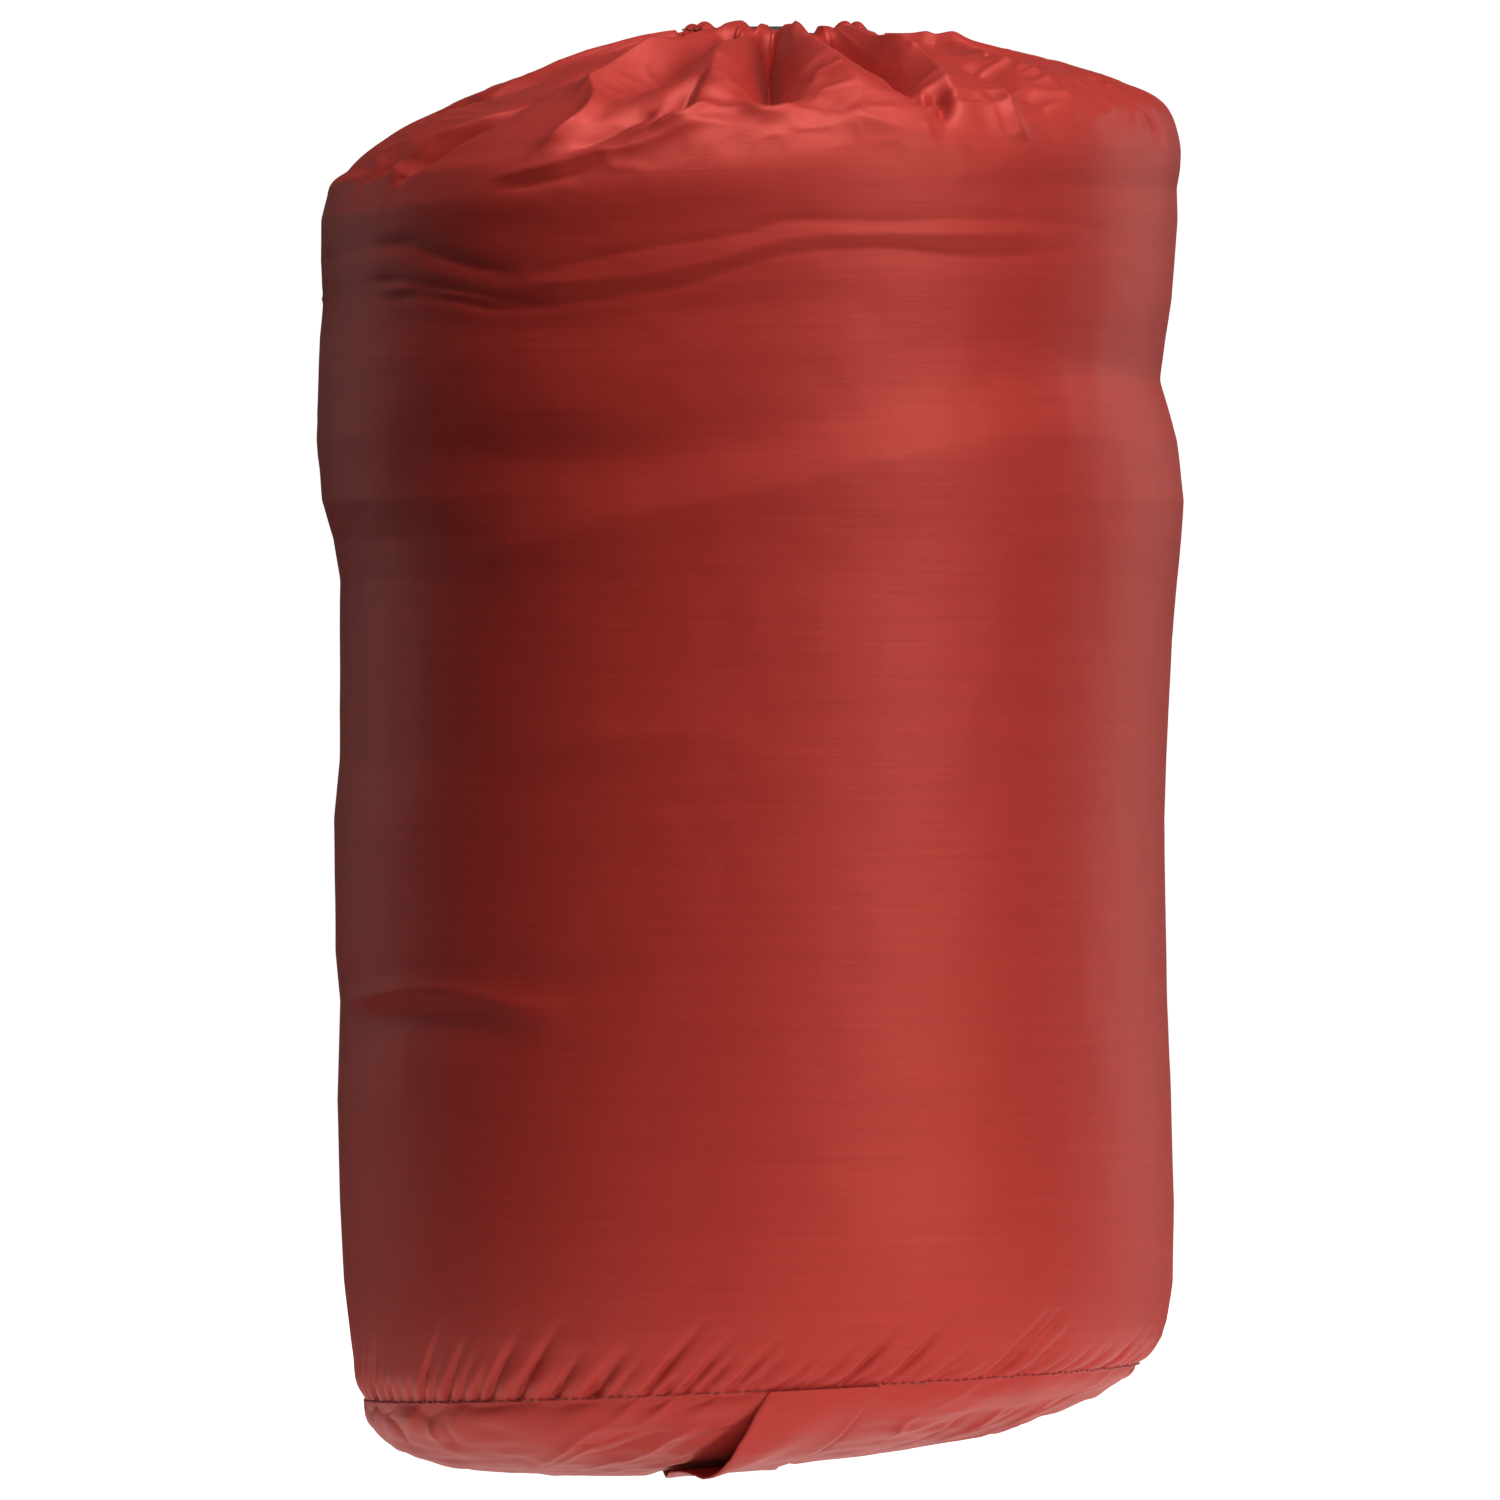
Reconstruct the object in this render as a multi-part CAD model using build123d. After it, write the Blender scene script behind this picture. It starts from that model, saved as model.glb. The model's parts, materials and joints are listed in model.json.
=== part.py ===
from build123d import *
import math
import os

# Rectangular sleeping bag, 76 x 190 cm, folded in half, rolled and packed in its drawstring stuff
# sack, standing on the sack's round end panel. Millimetres, +Z up, front of the sack towards -Y.
# The origin is the middle of the footprint, on the surface the sack stands on.

# ---- stuff sack ----
FABRIC_WALL = 1.2          # sack cloth as packed, with its coating and small folds
BASE_WALL = 2.0            # end panel, two layers
STRAP_WIDTH = 34.0
STRAP_RECESS = 1.0         # how far the strap presses into the end panel
STRAP_EASE = 0.4           # the recess is this much wider than the strap
STRAP_THICK = 0.9
STRAP_TURN = 8.5           # the strap crosses the end panel a little askew, degrees
STRAP_SHIFT = 2.0
BINDING_OUTER = 120.0      # tape that binds the base seam inside the sack
BINDING_INNER = 113.0
BINDING_THICK = 1.6
BINDING_RISE = 2.0
SEAM_THREAD_RING = 123.3   # the thread lies in the base seam, just outside the cloth
SEAM_THREAD_RADIUS = 0.35
SIDE_SEAM_TURN = 125.0     # the sack's long seam, degrees from +X
SIDE_SEAM_WIDTH = 8.0
SIDE_SEAM_RISE = (0.05, 0.9)
SIDE_SEAM_SPAN = (40.0, 392.0)
SIDE_THREAD_WIDTH = 0.6
SIDE_THREAD_RISE = (0.95, 1.3)
SIDE_THREAD_SPAN = (42.0, 390.0)
SIDE_THREAD_SPREAD = 2.6   # each stitch line from the middle of the seam

# Sections through the outside of the sack: radius x, radius y, centre x, y, z, slope to the
# right, slope to the back. The packed sack leans a little: its right shoulder is the higher.
WALL_SECTIONS = [
    (122.5, 122.5, -1.0, 0.0, 28.5, 0.0475, 0.0),
    (127.5, 127.5, 0.3, 0.0, 44.0, 0.025, 0.0),
    (130.2, 130.2, 0.6, 0.0, 64.0, 0.010, 0.0),
    (131.0, 131.0, 0.0, 0.0, 110.0, 0.0, 0.0),
    (131.2, 131.2, 0.0, 0.0, 200.0, 0.0, 0.0),
    (133.0, 133.0, -0.5, 0.0, 290.0, 0.0, 0.0),
    (133.4, 133.4, -1.5, 0.0, 345.0, 0.015, 0.0),
    (134.2, 134.2, -1.0, 0.0, 388.0, 0.045, 0.0),
    (133.5, 133.5, -0.5, 0.0, 408.0, 0.085, 0.0),
    (128.0, 128.0, 0.5, 0.0, 419.0, 0.083, 0.0),
    (115.0, 115.0, 0.5, 0.0, 427.5, 0.075, -0.01),
    (99.0, 99.0, 0.5, 0.0, 433.5, 0.066, -0.02),
    (70.5, 70.5, 1.5, 0.0, 441.0, 0.055, -0.07),
    (46.0, 46.0, 5.0, 0.0, 445.0, 0.025, -0.14),
    (34.6, 34.6, 7.0, 0.0, 445.6, 0.0, -0.176),
]

CROWN_SECTION = 10         # the crown starts at this section

# Sections through the outside of the end panel, from the flat patch it stands on to the seam.
BASE_SECTIONS = [
    (62.0, 85.0, -30.0, 0.0, 0.0, 0.0, 0.0),
    (85.0, 103.0, -19.0, 0.0, 8.0, 0.041, 0.0),
    (107.0, 114.5, -7.0, 0.0, 17.5, 0.0514, 0.0),
    (122.5, 122.5, -1.0, 0.0, 28.5, 0.0475, 0.0),
]

# ---- gathered mouth ----
MOUTH_X = 7.0
MOUTH_Z = 445.4
MOUTH_TILT = 10.0          # the mouth leans back, degrees
CHANNEL_RADIUS = 29.0      # middle of the gathered hem
CHANNEL_TUBE = 4.0         # outside radius of the hem tube
CHANNEL_BORE = 1.7
CHANNEL_GAP = 32.0         # half of the opening at the front, degrees
CHANNEL_THREAD_OFFSET = 3.15
CHANNEL_THREAD_RADIUS = 0.3
CHANNEL_THREAD_MARGIN = 4.0    # the stitching stops this far before the hem's ends, degrees
CORD_DIAMETER = 2.0

# ---- overhand knot that ties the two tails together, down the back ----
KNOT_POINT = (6.3, 137.2, 216.0)
KNOT_RADIUS = 4.2
KNOT_HEIGHT = 9.0
KNOT_ROUNDING = 2.0
KNOT_END_SPREAD = 1.3
KNOT_END_LENGTHS = {-1: 15.5, 1: 13.5}

# ---- cord lock, lying in the mouth ----
LOCK_X = 6.3
LOCK_Y = -10.5
LOCK_Z = 448.2
BARREL_RADIUS = 6.3
BARREL_FLOOR = -12.5       # closed end, from the cord hole
BARREL_MOUTH = 8.0
BARREL_BORE = 4.38
BARREL_END_WALL = 1.5
BARREL_ROUNDING = 1.6
PLUNGER_RADIUS = 4.3
PLUNGER_IN = -4.2
PLUNGER_OUT = 13.5
PLUNGER_ROUNDING = 2.0
PRESS_TRAVEL = 4.0
CORD_HOLE_HALF = 2.2
CORD_HOLE_HEIGHT = 2.8
CORD_HOLE_ROUNDING = 1.0
SPRING_RADIUS = 3.2
SPRING_WIRE = 0.25
SPRING_TURNS = 5
SPRING_PLAY = 0.05         # between the spring and what it bears on, at each end

# ---- rolled bag: four quilt layers wound on two centres, half a turn at a time ----
QUILT = 6.0                # one compressed quilt: shell, insulation, liner
CLOTH = 0.5
QUILT_GAP = 0.1
ROLL_RADIUS = 125.0
ROLL_SHIFT_Y = -6.0
ROLL_BOTTOM = 40.0
ROLL_TOP = 404.0
ROLL_EDGE_PLAY = 0.1       # the cloths' cut edges stop this far below the top of the roll
HALF_TURNS = 9
PITCH = 4 * QUILT

# ---- zipper along the open edge of the bag ----
TAPE = 0.6
TAPE_FOOT = 5.0
TAPE_INSET = 0.5           # tape from the middle of the chain
TAPE_HEIGHT = 8.0
COIL_HEIGHT = 2.4
COIL_WIDTH = 1.55
COIL_PLAY = 0.05           # coil from the middle of the chain
SLIDER_ANGLE = 6.0         # where the slider stands on the outermost half-turn, degrees
SLIDER_HALF = 2.6          # half of the slider's length, degrees
SLIDER_WIDTH = 3.6         # half of each width, from the middle of the chain
SLIDER_TUNNEL = 2.0
SLIDER_SLOT = 1.5
SLIDER_FOOT = 4.6          # bottom of the slider, above the roll
SLIDER_ROOF = 1.9          # from the coil's top to the slider's top
SLIDER_PLAY = 0.4
EAR_SIZE = (1.0, 4.0, 3.2)
EAR_SPREAD = 2.4
EAR_SINK = 0.1
EAR_ROUNDING = 1.2
PIN_RISE = 1.6             # the pull's cross pin, above the slider's top
PIN_RADIUS = 0.5
PULL_SIZE = (3.2, 15.0, 1.4)
PULL_HEEL = 1.5            # the pull's tab starts this far behind the pin
PULL_ROUNDING = 1.2
PULL_EYE_RADIUS = 1.4
PULL_EYE_BORE = 0.58
STOP_WIDTH = 1.7
STOP_THICK = 0.3
STOP_ANGLE = 1.2
STOP_HALF = 0.8

# ---- ties round the roll ----
TIE_WIDTH = 20.0
TIE_THICK = 0.6
TIE_PLAY = 0.15
TIE_HEIGHTS = {"roll_tie_lower": 130.0, "roll_tie_upper": 315.0}

# ---- care label, sewn to the free end of the bag ----
LABEL_SIZE = (18.0, 0.4, 36.0)
LABEL_X = 104.0
LABEL_Z = 210.0

# ---- tools for cutting ----
CUT_REACH = 400.0          # larger than the sack's width
NOT_ROUND = 0.0001         # sections are ellipses; this keeps a round one from being a circle

os.makedirs("parts", exist_ok=True)


def save(name, shape):
    export_step(shape, f"parts/{name}.step")


# =====================================================================================
# Helpers
# =====================================================================================
def section_plane(section):
    """Plane through the middle of a section, leaning by its slopes."""
    rx, ry, cx, cy, cz, slope_x, slope_y = section
    return Plane(origin=(cx, cy, cz), x_dir=(1, 0, slope_x), z_dir=(-slope_x, -slope_y, 1))


def section_wire(section):
    """Outline of one section."""
    face = section_plane(section) * Ellipse(section[0], section[1] + NOT_ROUND)
    return face.wires()[0]


def body_of(sections):
    """Closed solid through a stack of sections."""
    return Solid.make_loft([section_wire(s) for s in sections], ruled=False)


def inset(sections, depth, below, above):
    """The same stack moved in by depth, run on past its first and last section."""
    out = []
    last = len(sections) - 1
    for i, s in enumerate(sections):
        a = sections[max(i - 1, 0)]
        b = sections[min(i + 1, last)]
        dr = b[1] - a[1]
        dz = b[4] - a[4]
        size = math.hypot(dr, dz)
        nr = dz / size
        nz = -dr / size
        out.append((s[0] - depth * nr, s[1] - depth * nr, s[2], s[3], s[4] - depth * nz, s[5], s[6]))
    first = out[0]
    if below:
        out.insert(0, first[:4] + (first[4] - below,) + first[5:])
    end = out[-1]
    if above:
        grow_r, grow_z = above
        out.append((end[0] + grow_r, end[1] + grow_r) + end[2:4] + (end[4] + grow_z,) + end[5:])
    return out


def slab(width, turn, shift, z0, z1):
    """Upright slab along Y, turned about Z: it cuts straps and seams out of a skin."""
    box = Box(width, CUT_REACH, z1 - z0, align=(Align.CENTER, Align.CENTER, Align.MIN))
    return Pos(shift, 0, z0) * Rot(0, 0, turn) * box


def ring_place():
    """Frame of the gathered mouth: its own Z is the axis of the ring."""
    return Pos(MOUTH_X, 0, MOUTH_Z) * Rot(-MOUTH_TILT, 0, 0)


def ring_arc(radius, height, tube, bore, gap):
    """Tube round the mouth, open at the front over twice the gap angle."""
    ring = Circle(tube)
    if bore:
        ring -= Circle(bore)
    placed = Plane.XZ * Pos(radius, height) * ring
    arc = revolve(placed, Axis.Z, 360 - 2 * gap)
    return ring_place() * Rot(0, 0, -90 + gap) * arc


def ring_point(angle, radius):
    """Point of the mouth ring at an angle from +X."""
    a = math.radians(angle)
    return (ring_place() * Pos(radius * math.cos(a), radius * math.sin(a), 0)).position


# =====================================================================================
# Stuff sack: side panel, end panel, strap, seams
# =====================================================================================
# The inside runs on through both ends of the wall, so that the panel is open there.
RUN_BELOW = 2.0
RUN_ABOVE = (-0.9, 4.0)
wall_outside = body_of(WALL_SECTIONS)
wall_inside = body_of(inset(WALL_SECTIONS, FABRIC_WALL, RUN_BELOW, RUN_ABOVE))
cloth = wall_outside - wall_inside
# The cloth of the sack is one panel; its gathered crown is a node of its own.
crown_frame = section_plane(WALL_SECTIONS[CROWN_SECTION]).location
crown_space = Box(CUT_REACH, CUT_REACH, CUT_REACH, align=(Align.CENTER, Align.CENTER, Align.MIN))
save("sack_side_panel", cloth - crown_frame * crown_space)
save("sack_gathered_crown", cloth & crown_frame * crown_space)

base_outside = body_of(BASE_SECTIONS)


def base_skin(depth):
    """Skin of the end panel, its depth measured straight up."""
    return base_outside - Pos(0, 0, depth) * base_outside


strap_cut = slab(STRAP_WIDTH + STRAP_EASE, STRAP_TURN, STRAP_SHIFT, -5, 60)
strap_slab = slab(STRAP_WIDTH, STRAP_TURN, STRAP_SHIFT, -5, 60)
base_panel = base_skin(BASE_WALL) - (base_skin(STRAP_RECESS) & strap_cut)
strap = base_skin(STRAP_THICK) & strap_slab
save("sack_base_panel", base_panel)
save("base_strap", strap)

seam_frame = section_plane(BASE_SECTIONS[-1]).location
binding = Cylinder(BINDING_OUTER, BINDING_THICK) - Cylinder(BINDING_INNER, BINDING_THICK)
save("base_seam_binding", seam_frame * Pos(0, 0, BINDING_RISE) * binding)
save("base_seam_thread", seam_frame * Torus(SEAM_THREAD_RING, SEAM_THREAD_RADIUS))


def wall_strip(width, turn, rise, span):
    """Upright strip on the outside of the wall, between two rises above the cloth."""
    low, high = rise
    bottom, top = span
    grown = body_of(inset(WALL_SECTIONS, -high, 0, None))
    inner = body_of(inset(WALL_SECTIONS, -low, 0, None))
    box = Box(CUT_REACH, width, top - bottom, align=(Align.MIN, Align.CENTER, Align.MIN))
    return (grown & Pos(0, 0, bottom) * Rot(0, 0, turn) * box) - inner


save("side_seam_fell", wall_strip(SIDE_SEAM_WIDTH, SIDE_SEAM_TURN, SIDE_SEAM_RISE, SIDE_SEAM_SPAN))
WALL_RADIUS = 131.0
THREAD_STEP = math.degrees(SIDE_THREAD_SPREAD / WALL_RADIUS)
threads = []
for side in (-1, 1):
    turn = SIDE_SEAM_TURN + side * THREAD_STEP
    line = wall_strip(SIDE_THREAD_WIDTH, turn, SIDE_THREAD_RISE, SIDE_THREAD_SPAN)
    threads.append(line.solids()[0])
save("side_seam_thread", Compound(children=threads))

# =====================================================================================
# Gathered mouth: hem channel, its thread, and the cord inside it
# =====================================================================================
save("drawcord_channel", ring_arc(CHANNEL_RADIUS, 0, CHANNEL_TUBE, CHANNEL_BORE, CHANNEL_GAP))
thread_radius = CHANNEL_RADIUS + CHANNEL_THREAD_OFFSET
thread_gap = CHANNEL_GAP + CHANNEL_THREAD_MARGIN
save(
    "channel_thread",
    ring_arc(thread_radius, CHANNEL_THREAD_OFFSET, CHANNEL_THREAD_RADIUS, 0, thread_gap),
)
save("drawcord_in_channel", ring_arc(CHANNEL_RADIUS, 0, CORD_DIAMETER / 2, 0, CHANNEL_GAP))

# =====================================================================================
# Drawcord tails: out of the channel, through the lock, back over the rim, down the back
# =====================================================================================
# Route of one tail, from where it turns into the lock to the knot: distance from the lock's
# middle line, y, z.
TAIL_RUN = [
    (1.10, -23.4, LOCK_Z),
    (1.10, 24.0, LOCK_Z),
    (3.2, 41.0, 451.4),
    (4.4, 63.0, 450.6),
    (3.0, 86.0, 446.0),
    (2.0, 108.0, 438.5),
    (2.6, 127.5, 426.5),
    (3.2, 139.5, 407.0),
    (3.6, 142.0, 381.0),
    (2.4, 140.0, 352.0),
    (3.4, 138.5, 322.0),
    (1.6, 138.0, 292.0),
    (1.9, 138.6, 264.0),
    (1.05, 137.6, 238.0),
    (1.05, 137.2, 216.0),
]
TAIL_SWAY = 1.2            # the tails hang a little unevenly
TAIL_LAST = 1.05
BEND_SHARE = 0.45          # share of the shorter neighbouring stretch that a bend may use


def tail_points(side):
    """Route of one tail: side is -1 on the left, +1 on the right."""
    start = ring_point(-90 + side * CHANNEL_GAP, CHANNEL_RADIUS)
    pts = [(start.X, start.Y, start.Z)]
    phase = 1.1 if side > 0 else 0.2
    for k, (dx, y, z) in enumerate(TAIL_RUN):
        sway = 0.0 if k < 2 else TAIL_SWAY * math.sin(0.9 * k + phase)
        pts.append((LOCK_X + side * dx + sway, y, z))
    pts[-1] = (LOCK_X + side * TAIL_LAST, pts[-1][1], pts[-1][2])
    return pts


def bend_radii(pts):
    """Radius of the bend at each inner point of a route."""
    radii = []
    for a, b, c in zip(pts, pts[1:], pts[2:]):
        v1 = Vector(*b) - Vector(*a)
        v2 = Vector(*c) - Vector(*b)
        turn = math.radians(v1.get_angle(v2))
        radii.append(BEND_SHARE * min(v1.length, v2.length) / math.tan(turn / 2))
    return radii


def cord_tube(name, pts, diameter):
    """Cord along a route, printed with its length, tightest bend and volume ratio."""
    radii = bend_radii(pts)
    path = FilletPolyline(*pts, radius=radii)
    section = Plane(origin=path @ 0, z_dir=path % 0) * Circle(diameter / 2)
    tube = sweep(section, path=path)
    expected = math.pi * diameter**2 / 4 * path.length
    ratio = tube.volume / expected
    print(f"{name} length {path.length:.1f} tightest {min(radii):.1f} volume ratio {ratio:.4f}")
    save(name, tube)


cord_tube("drawcord_tail_left", tail_points(-1), CORD_DIAMETER)
cord_tube("drawcord_tail_right", tail_points(1), CORD_DIAMETER)

# The knot, with the tails' two short ends below it.
knot = Pos(0, 0, -KNOT_HEIGHT / 2) * Cylinder(KNOT_RADIUS, KNOT_HEIGHT)
knot = fillet(knot.edges(), KNOT_ROUNDING)
for side, end_length in KNOT_END_LENGTHS.items():
    end = Cylinder(CORD_DIAMETER / 2, end_length, align=(Align.CENTER, Align.CENTER, Align.MAX))
    knot += Pos(side * KNOT_END_SPREAD, 0, -KNOT_HEIGHT + 0.5) * end
save("tail_knot", Pos(*KNOT_POINT) * knot)

# =====================================================================================
# Cord lock: barrel, plunger, spring. Its own axis is X, the cords run through along Y.
# =====================================================================================
def along_x(radius, x0, x1):
    """Round bar lying along the lock's axis."""
    rod = Cylinder(radius, x1 - x0, align=(Align.CENTER, Align.CENTER, Align.MIN))
    return Pos(x0, 0, 0) * Rot(0, 90, 0) * rod


def cord_hole(x0, x1):
    """Oblong hole across the lock, for both tails."""
    hole = Pos((x0 + x1) / 2, 0, 0) * Box(x1 - x0, 5 * BARREL_RADIUS, CORD_HOLE_HEIGHT)
    return fillet(hole.edges().filter_by(Axis.Y), CORD_HOLE_ROUNDING)


lock_at = Pos(LOCK_X, LOCK_Y, LOCK_Z)
barrel = along_x(BARREL_RADIUS, BARREL_FLOOR, BARREL_MOUTH)
barrel = fillet(barrel.edges(), BARREL_ROUNDING)
barrel -= along_x(BARREL_BORE, BARREL_FLOOR + BARREL_END_WALL, BARREL_MOUTH + 1)
barrel -= cord_hole(-CORD_HOLE_HALF - PRESS_TRAVEL, CORD_HOLE_HALF)
save("lock_barrel", lock_at * barrel)

plunger = along_x(PLUNGER_RADIUS, PLUNGER_IN, PLUNGER_OUT)
plunger = fillet(plunger.edges().sort_by(Axis.X)[-1], PLUNGER_ROUNDING)
plunger -= cord_hole(-CORD_HOLE_HALF, CORD_HOLE_HALF + PRESS_TRAVEL)
save("lock_plunger", lock_at * plunger)

spring_x0 = BARREL_FLOOR + BARREL_END_WALL + SPRING_WIRE + SPRING_PLAY
spring_x1 = PLUNGER_IN - SPRING_WIRE - SPRING_PLAY
spring_length = spring_x1 - spring_x0
helix = Helix(pitch=spring_length / SPRING_TURNS, height=spring_length, radius=SPRING_RADIUS)
wire_section = Plane(origin=helix @ 0, z_dir=helix % 0) * Circle(SPRING_WIRE)
spring = sweep(wire_section, path=helix, is_frenet=True)
save("lock_spring", lock_at * Pos(spring_x0, 0, 0) * Rot(0, 90, 0) * spring)


# =====================================================================================
# Rolled bag
# =====================================================================================
def half_turn_frame(k):
    """Centre of half-turn k, and the turn about Z that puts its start where it belongs."""
    centre_x = 0.0 if k % 2 == 0 else -PITCH / 2
    start = 0.0 if k % 2 == 0 else 180.0
    return Pos(centre_x, ROLL_SHIFT_Y, 0) * Rot(0, 0, start)


def half_turn_radius(k):
    """Outside radius of half-turn k."""
    return ROLL_RADIUS - k * PITCH / 2


def band_face(k, inner, outer):
    """Section of one cloth: a W-shaped band between two offsets from the quilt's middle."""
    big_r = half_turn_radius(k)
    low = ROLL_BOTTOM + PITCH / 2
    high = ROLL_TOP - QUILT
    edge = ROLL_TOP - ROLL_EDGE_PLAY

    def side(s):
        u3 = big_r - (2.5 * QUILT - s)
        u2 = big_r - (1.5 * QUILT + s)
        u1 = big_r - (0.5 * QUILT - s)
        u4 = big_r - (3.5 * QUILT + s)
        mid_fold = big_r - 2 * QUILT
        mid_top = big_r - QUILT
        return [
            Line((u3, edge), (u3, low)),
            ThreePointArc((u3, low), (mid_fold, low - (0.5 * QUILT - s)), (u2, low)),
            Line((u2, low), (u2, high)),
            ThreePointArc((u2, high), (mid_top, high + 0.5 * QUILT + s), (u1, high)),
            Line((u1, high), (u1, low)),
            ThreePointArc((u1, low), (mid_fold, low - (1.5 * QUILT + s)), (u4, low)),
            Line((u4, low), (u4, edge)),
        ]

    one = side(inner)
    two = side(outer)
    caps = [Line(one[0] @ 0, two[0] @ 0), Line(one[-1] @ 1, two[-1] @ 1)]
    return Plane.XZ * make_face(one + two + caps)


def half_turn(k, face):
    """A section swept through half-turn k."""
    return half_turn_frame(k) * revolve(face, Axis.Z, 180)


def wound(maker):
    """One piece wound through all half-turns, from the free end to the core."""
    parts = [half_turn(k, maker(k)) for k in range(HALF_TURNS)]
    return Solid.fuse(parts[0].solids()[0], *[p.solids()[0] for p in parts[1:]])


HALF_QUILT = QUILT / 2 - QUILT_GAP
save("bag_shell", wound(lambda k: band_face(k, HALF_QUILT - CLOTH, HALF_QUILT)))
save("bag_insulation", wound(lambda k: band_face(k, -HALF_QUILT + CLOTH, HALF_QUILT - CLOTH)))
save("bag_liner", wound(lambda k: band_face(k, -HALF_QUILT, -HALF_QUILT + CLOTH)))


# ---- zipper ----
def bar(r0, r1, z0, z1):
    """Rectangular section between two radii and two heights."""
    return Plane.XZ * Pos((r0 + r1) / 2, (z0 + z1) / 2) * Rectangle(r1 - r0, z1 - z0)


CHAIN = 3 * QUILT          # the chain stands over the joint between the third and fourth quilt
ZIP_Z = ROLL_TOP
TAPE_TOP = ZIP_Z + TAPE_HEIGHT


def tape_face(k, sign):
    """Tape of one side: a foot on the quilt's edge and a leg up to the coil."""
    middle = half_turn_radius(k) - CHAIN
    foot = sorted((middle + sign * TAPE_FOOT, middle + sign * TAPE_INSET))
    leg = sorted((middle + sign * (TAPE_INSET + TAPE), middle + sign * TAPE_INSET))
    return bar(*foot, ZIP_Z, ZIP_Z + TAPE) + bar(*leg, ZIP_Z, TAPE_TOP)


def coil_face(k, sign):
    """Closed coil of one side, as a solid bead."""
    middle = half_turn_radius(k) - CHAIN
    across = sorted((middle + sign * COIL_PLAY, middle + sign * (COIL_PLAY + COIL_WIDTH)))
    return bar(*across, TAPE_TOP, TAPE_TOP + COIL_HEIGHT)


for label, sign in (("upper", 1), ("lower", -1)):
    save(f"zip_tape_{label}", wound(lambda k: tape_face(k, sign)))
    save(f"zip_coil_{label}", wound(lambda k: coil_face(k, sign)))


def zip_arc(face, middle_angle, half_angle):
    """Piece on the chain of the outermost half-turn."""
    arc = revolve(face, Axis.Z, 2 * half_angle)
    return half_turn_frame(0) * Rot(0, 0, middle_angle - half_angle) * arc


chain_r = half_turn_radius(0) - CHAIN
coil_top = TAPE_TOP + COIL_HEIGHT
slider_top = coil_top + SLIDER_ROOF


def about_chain(half_width, z0, z1):
    """Rectangular section centred on the chain."""
    return bar(chain_r - half_width, chain_r + half_width, z0, z1)


slider_face = about_chain(SLIDER_WIDTH, ZIP_Z + SLIDER_FOOT, slider_top)
slider_face -= about_chain(SLIDER_TUNNEL, TAPE_TOP - SLIDER_PLAY, coil_top + SLIDER_PLAY)
slider_face -= about_chain(SLIDER_SLOT, ZIP_Z + SLIDER_FOOT - 1, TAPE_TOP)
slider = zip_arc(slider_face, SLIDER_ANGLE, SLIDER_HALF)
slider_at = half_turn_frame(0) * Rot(0, 0, SLIDER_ANGLE) * Pos(chain_r, 0, slider_top)
ear = Box(*EAR_SIZE, align=(Align.CENTER, Align.CENTER, Align.MIN))
ear = fillet(ear.edges().filter_by(Axis.X).sort_by(Axis.Z)[-2:], EAR_ROUNDING)
for side in (-1, 1):
    slider += slider_at * Pos(side * EAR_SPREAD, 0, -EAR_SINK) * ear
pin_at = slider_at * Pos(0, 0, PIN_RISE) * Rot(0, 90, 0)
slider += pin_at * Cylinder(PIN_RADIUS, 2 * EAR_SPREAD)
save("zip_slider", slider)

# Pull tab: its eye turns on the slider's cross pin, and it lies along the chain.
tab = Box(*PULL_SIZE, align=(Align.CENTER, Align.MIN, Align.CENTER))
tab = fillet(tab.edges().filter_by(Axis.Z), PULL_ROUNDING)
pull = slider_at * Pos(0, -PULL_HEEL, PIN_RISE) * tab
pull += pin_at * Cylinder(PULL_EYE_RADIUS, PULL_SIZE[0])
pull -= pin_at * Cylinder(PULL_EYE_BORE, 2 * PULL_SIZE[0])
save("zip_pull", pull)

stops = []
for side in (-1, 1):
    edges = sorted((chain_r + side * COIL_PLAY, chain_r + side * (COIL_PLAY + STOP_WIDTH)))
    stop = zip_arc(bar(*edges, coil_top, coil_top + STOP_THICK), STOP_ANGLE, STOP_HALF)
    stops.append(stop.solids()[0])
save("zip_end_stops", Compound(children=stops))


# ---- ties and label ----
def tie(z):
    """Closed ribbon round the roll; it steps in behind the free end of the bag."""
    outer = half_turn_radius(0) + TIE_PLAY
    inner = half_turn_radius(1) + TIE_PLAY
    band = half_turn(0, bar(outer, outer + TIE_THICK, z, z + TIE_WIDTH))
    band += half_turn(1, bar(inner, inner + TIE_THICK, z, z + TIE_WIDTH))
    step_start = inner - PITCH / 2
    step_length = outer + TIE_THICK - step_start
    step = Box(step_length, TIE_THICK, TIE_WIDTH, align=(Align.MIN, Align.MAX, Align.MIN))
    band += Pos(step_start, ROLL_SHIFT_Y - TIE_PLAY, z) * step
    heel = Box(TIE_THICK, TIE_THICK, TIE_WIDTH, align=(Align.MIN, Align.CENTER, Align.MIN))
    band += Pos(outer, ROLL_SHIFT_Y, z) * heel
    return band


for name, height in TIE_HEIGHTS.items():
    save(name, tie(height))

label = Box(*LABEL_SIZE, align=(Align.MIN, Align.MAX, Align.MIN))
save("care_label", Pos(LABEL_X, ROLL_SHIFT_Y - TIE_PLAY, LABEL_Z) * label)
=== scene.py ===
import json
import math

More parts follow.
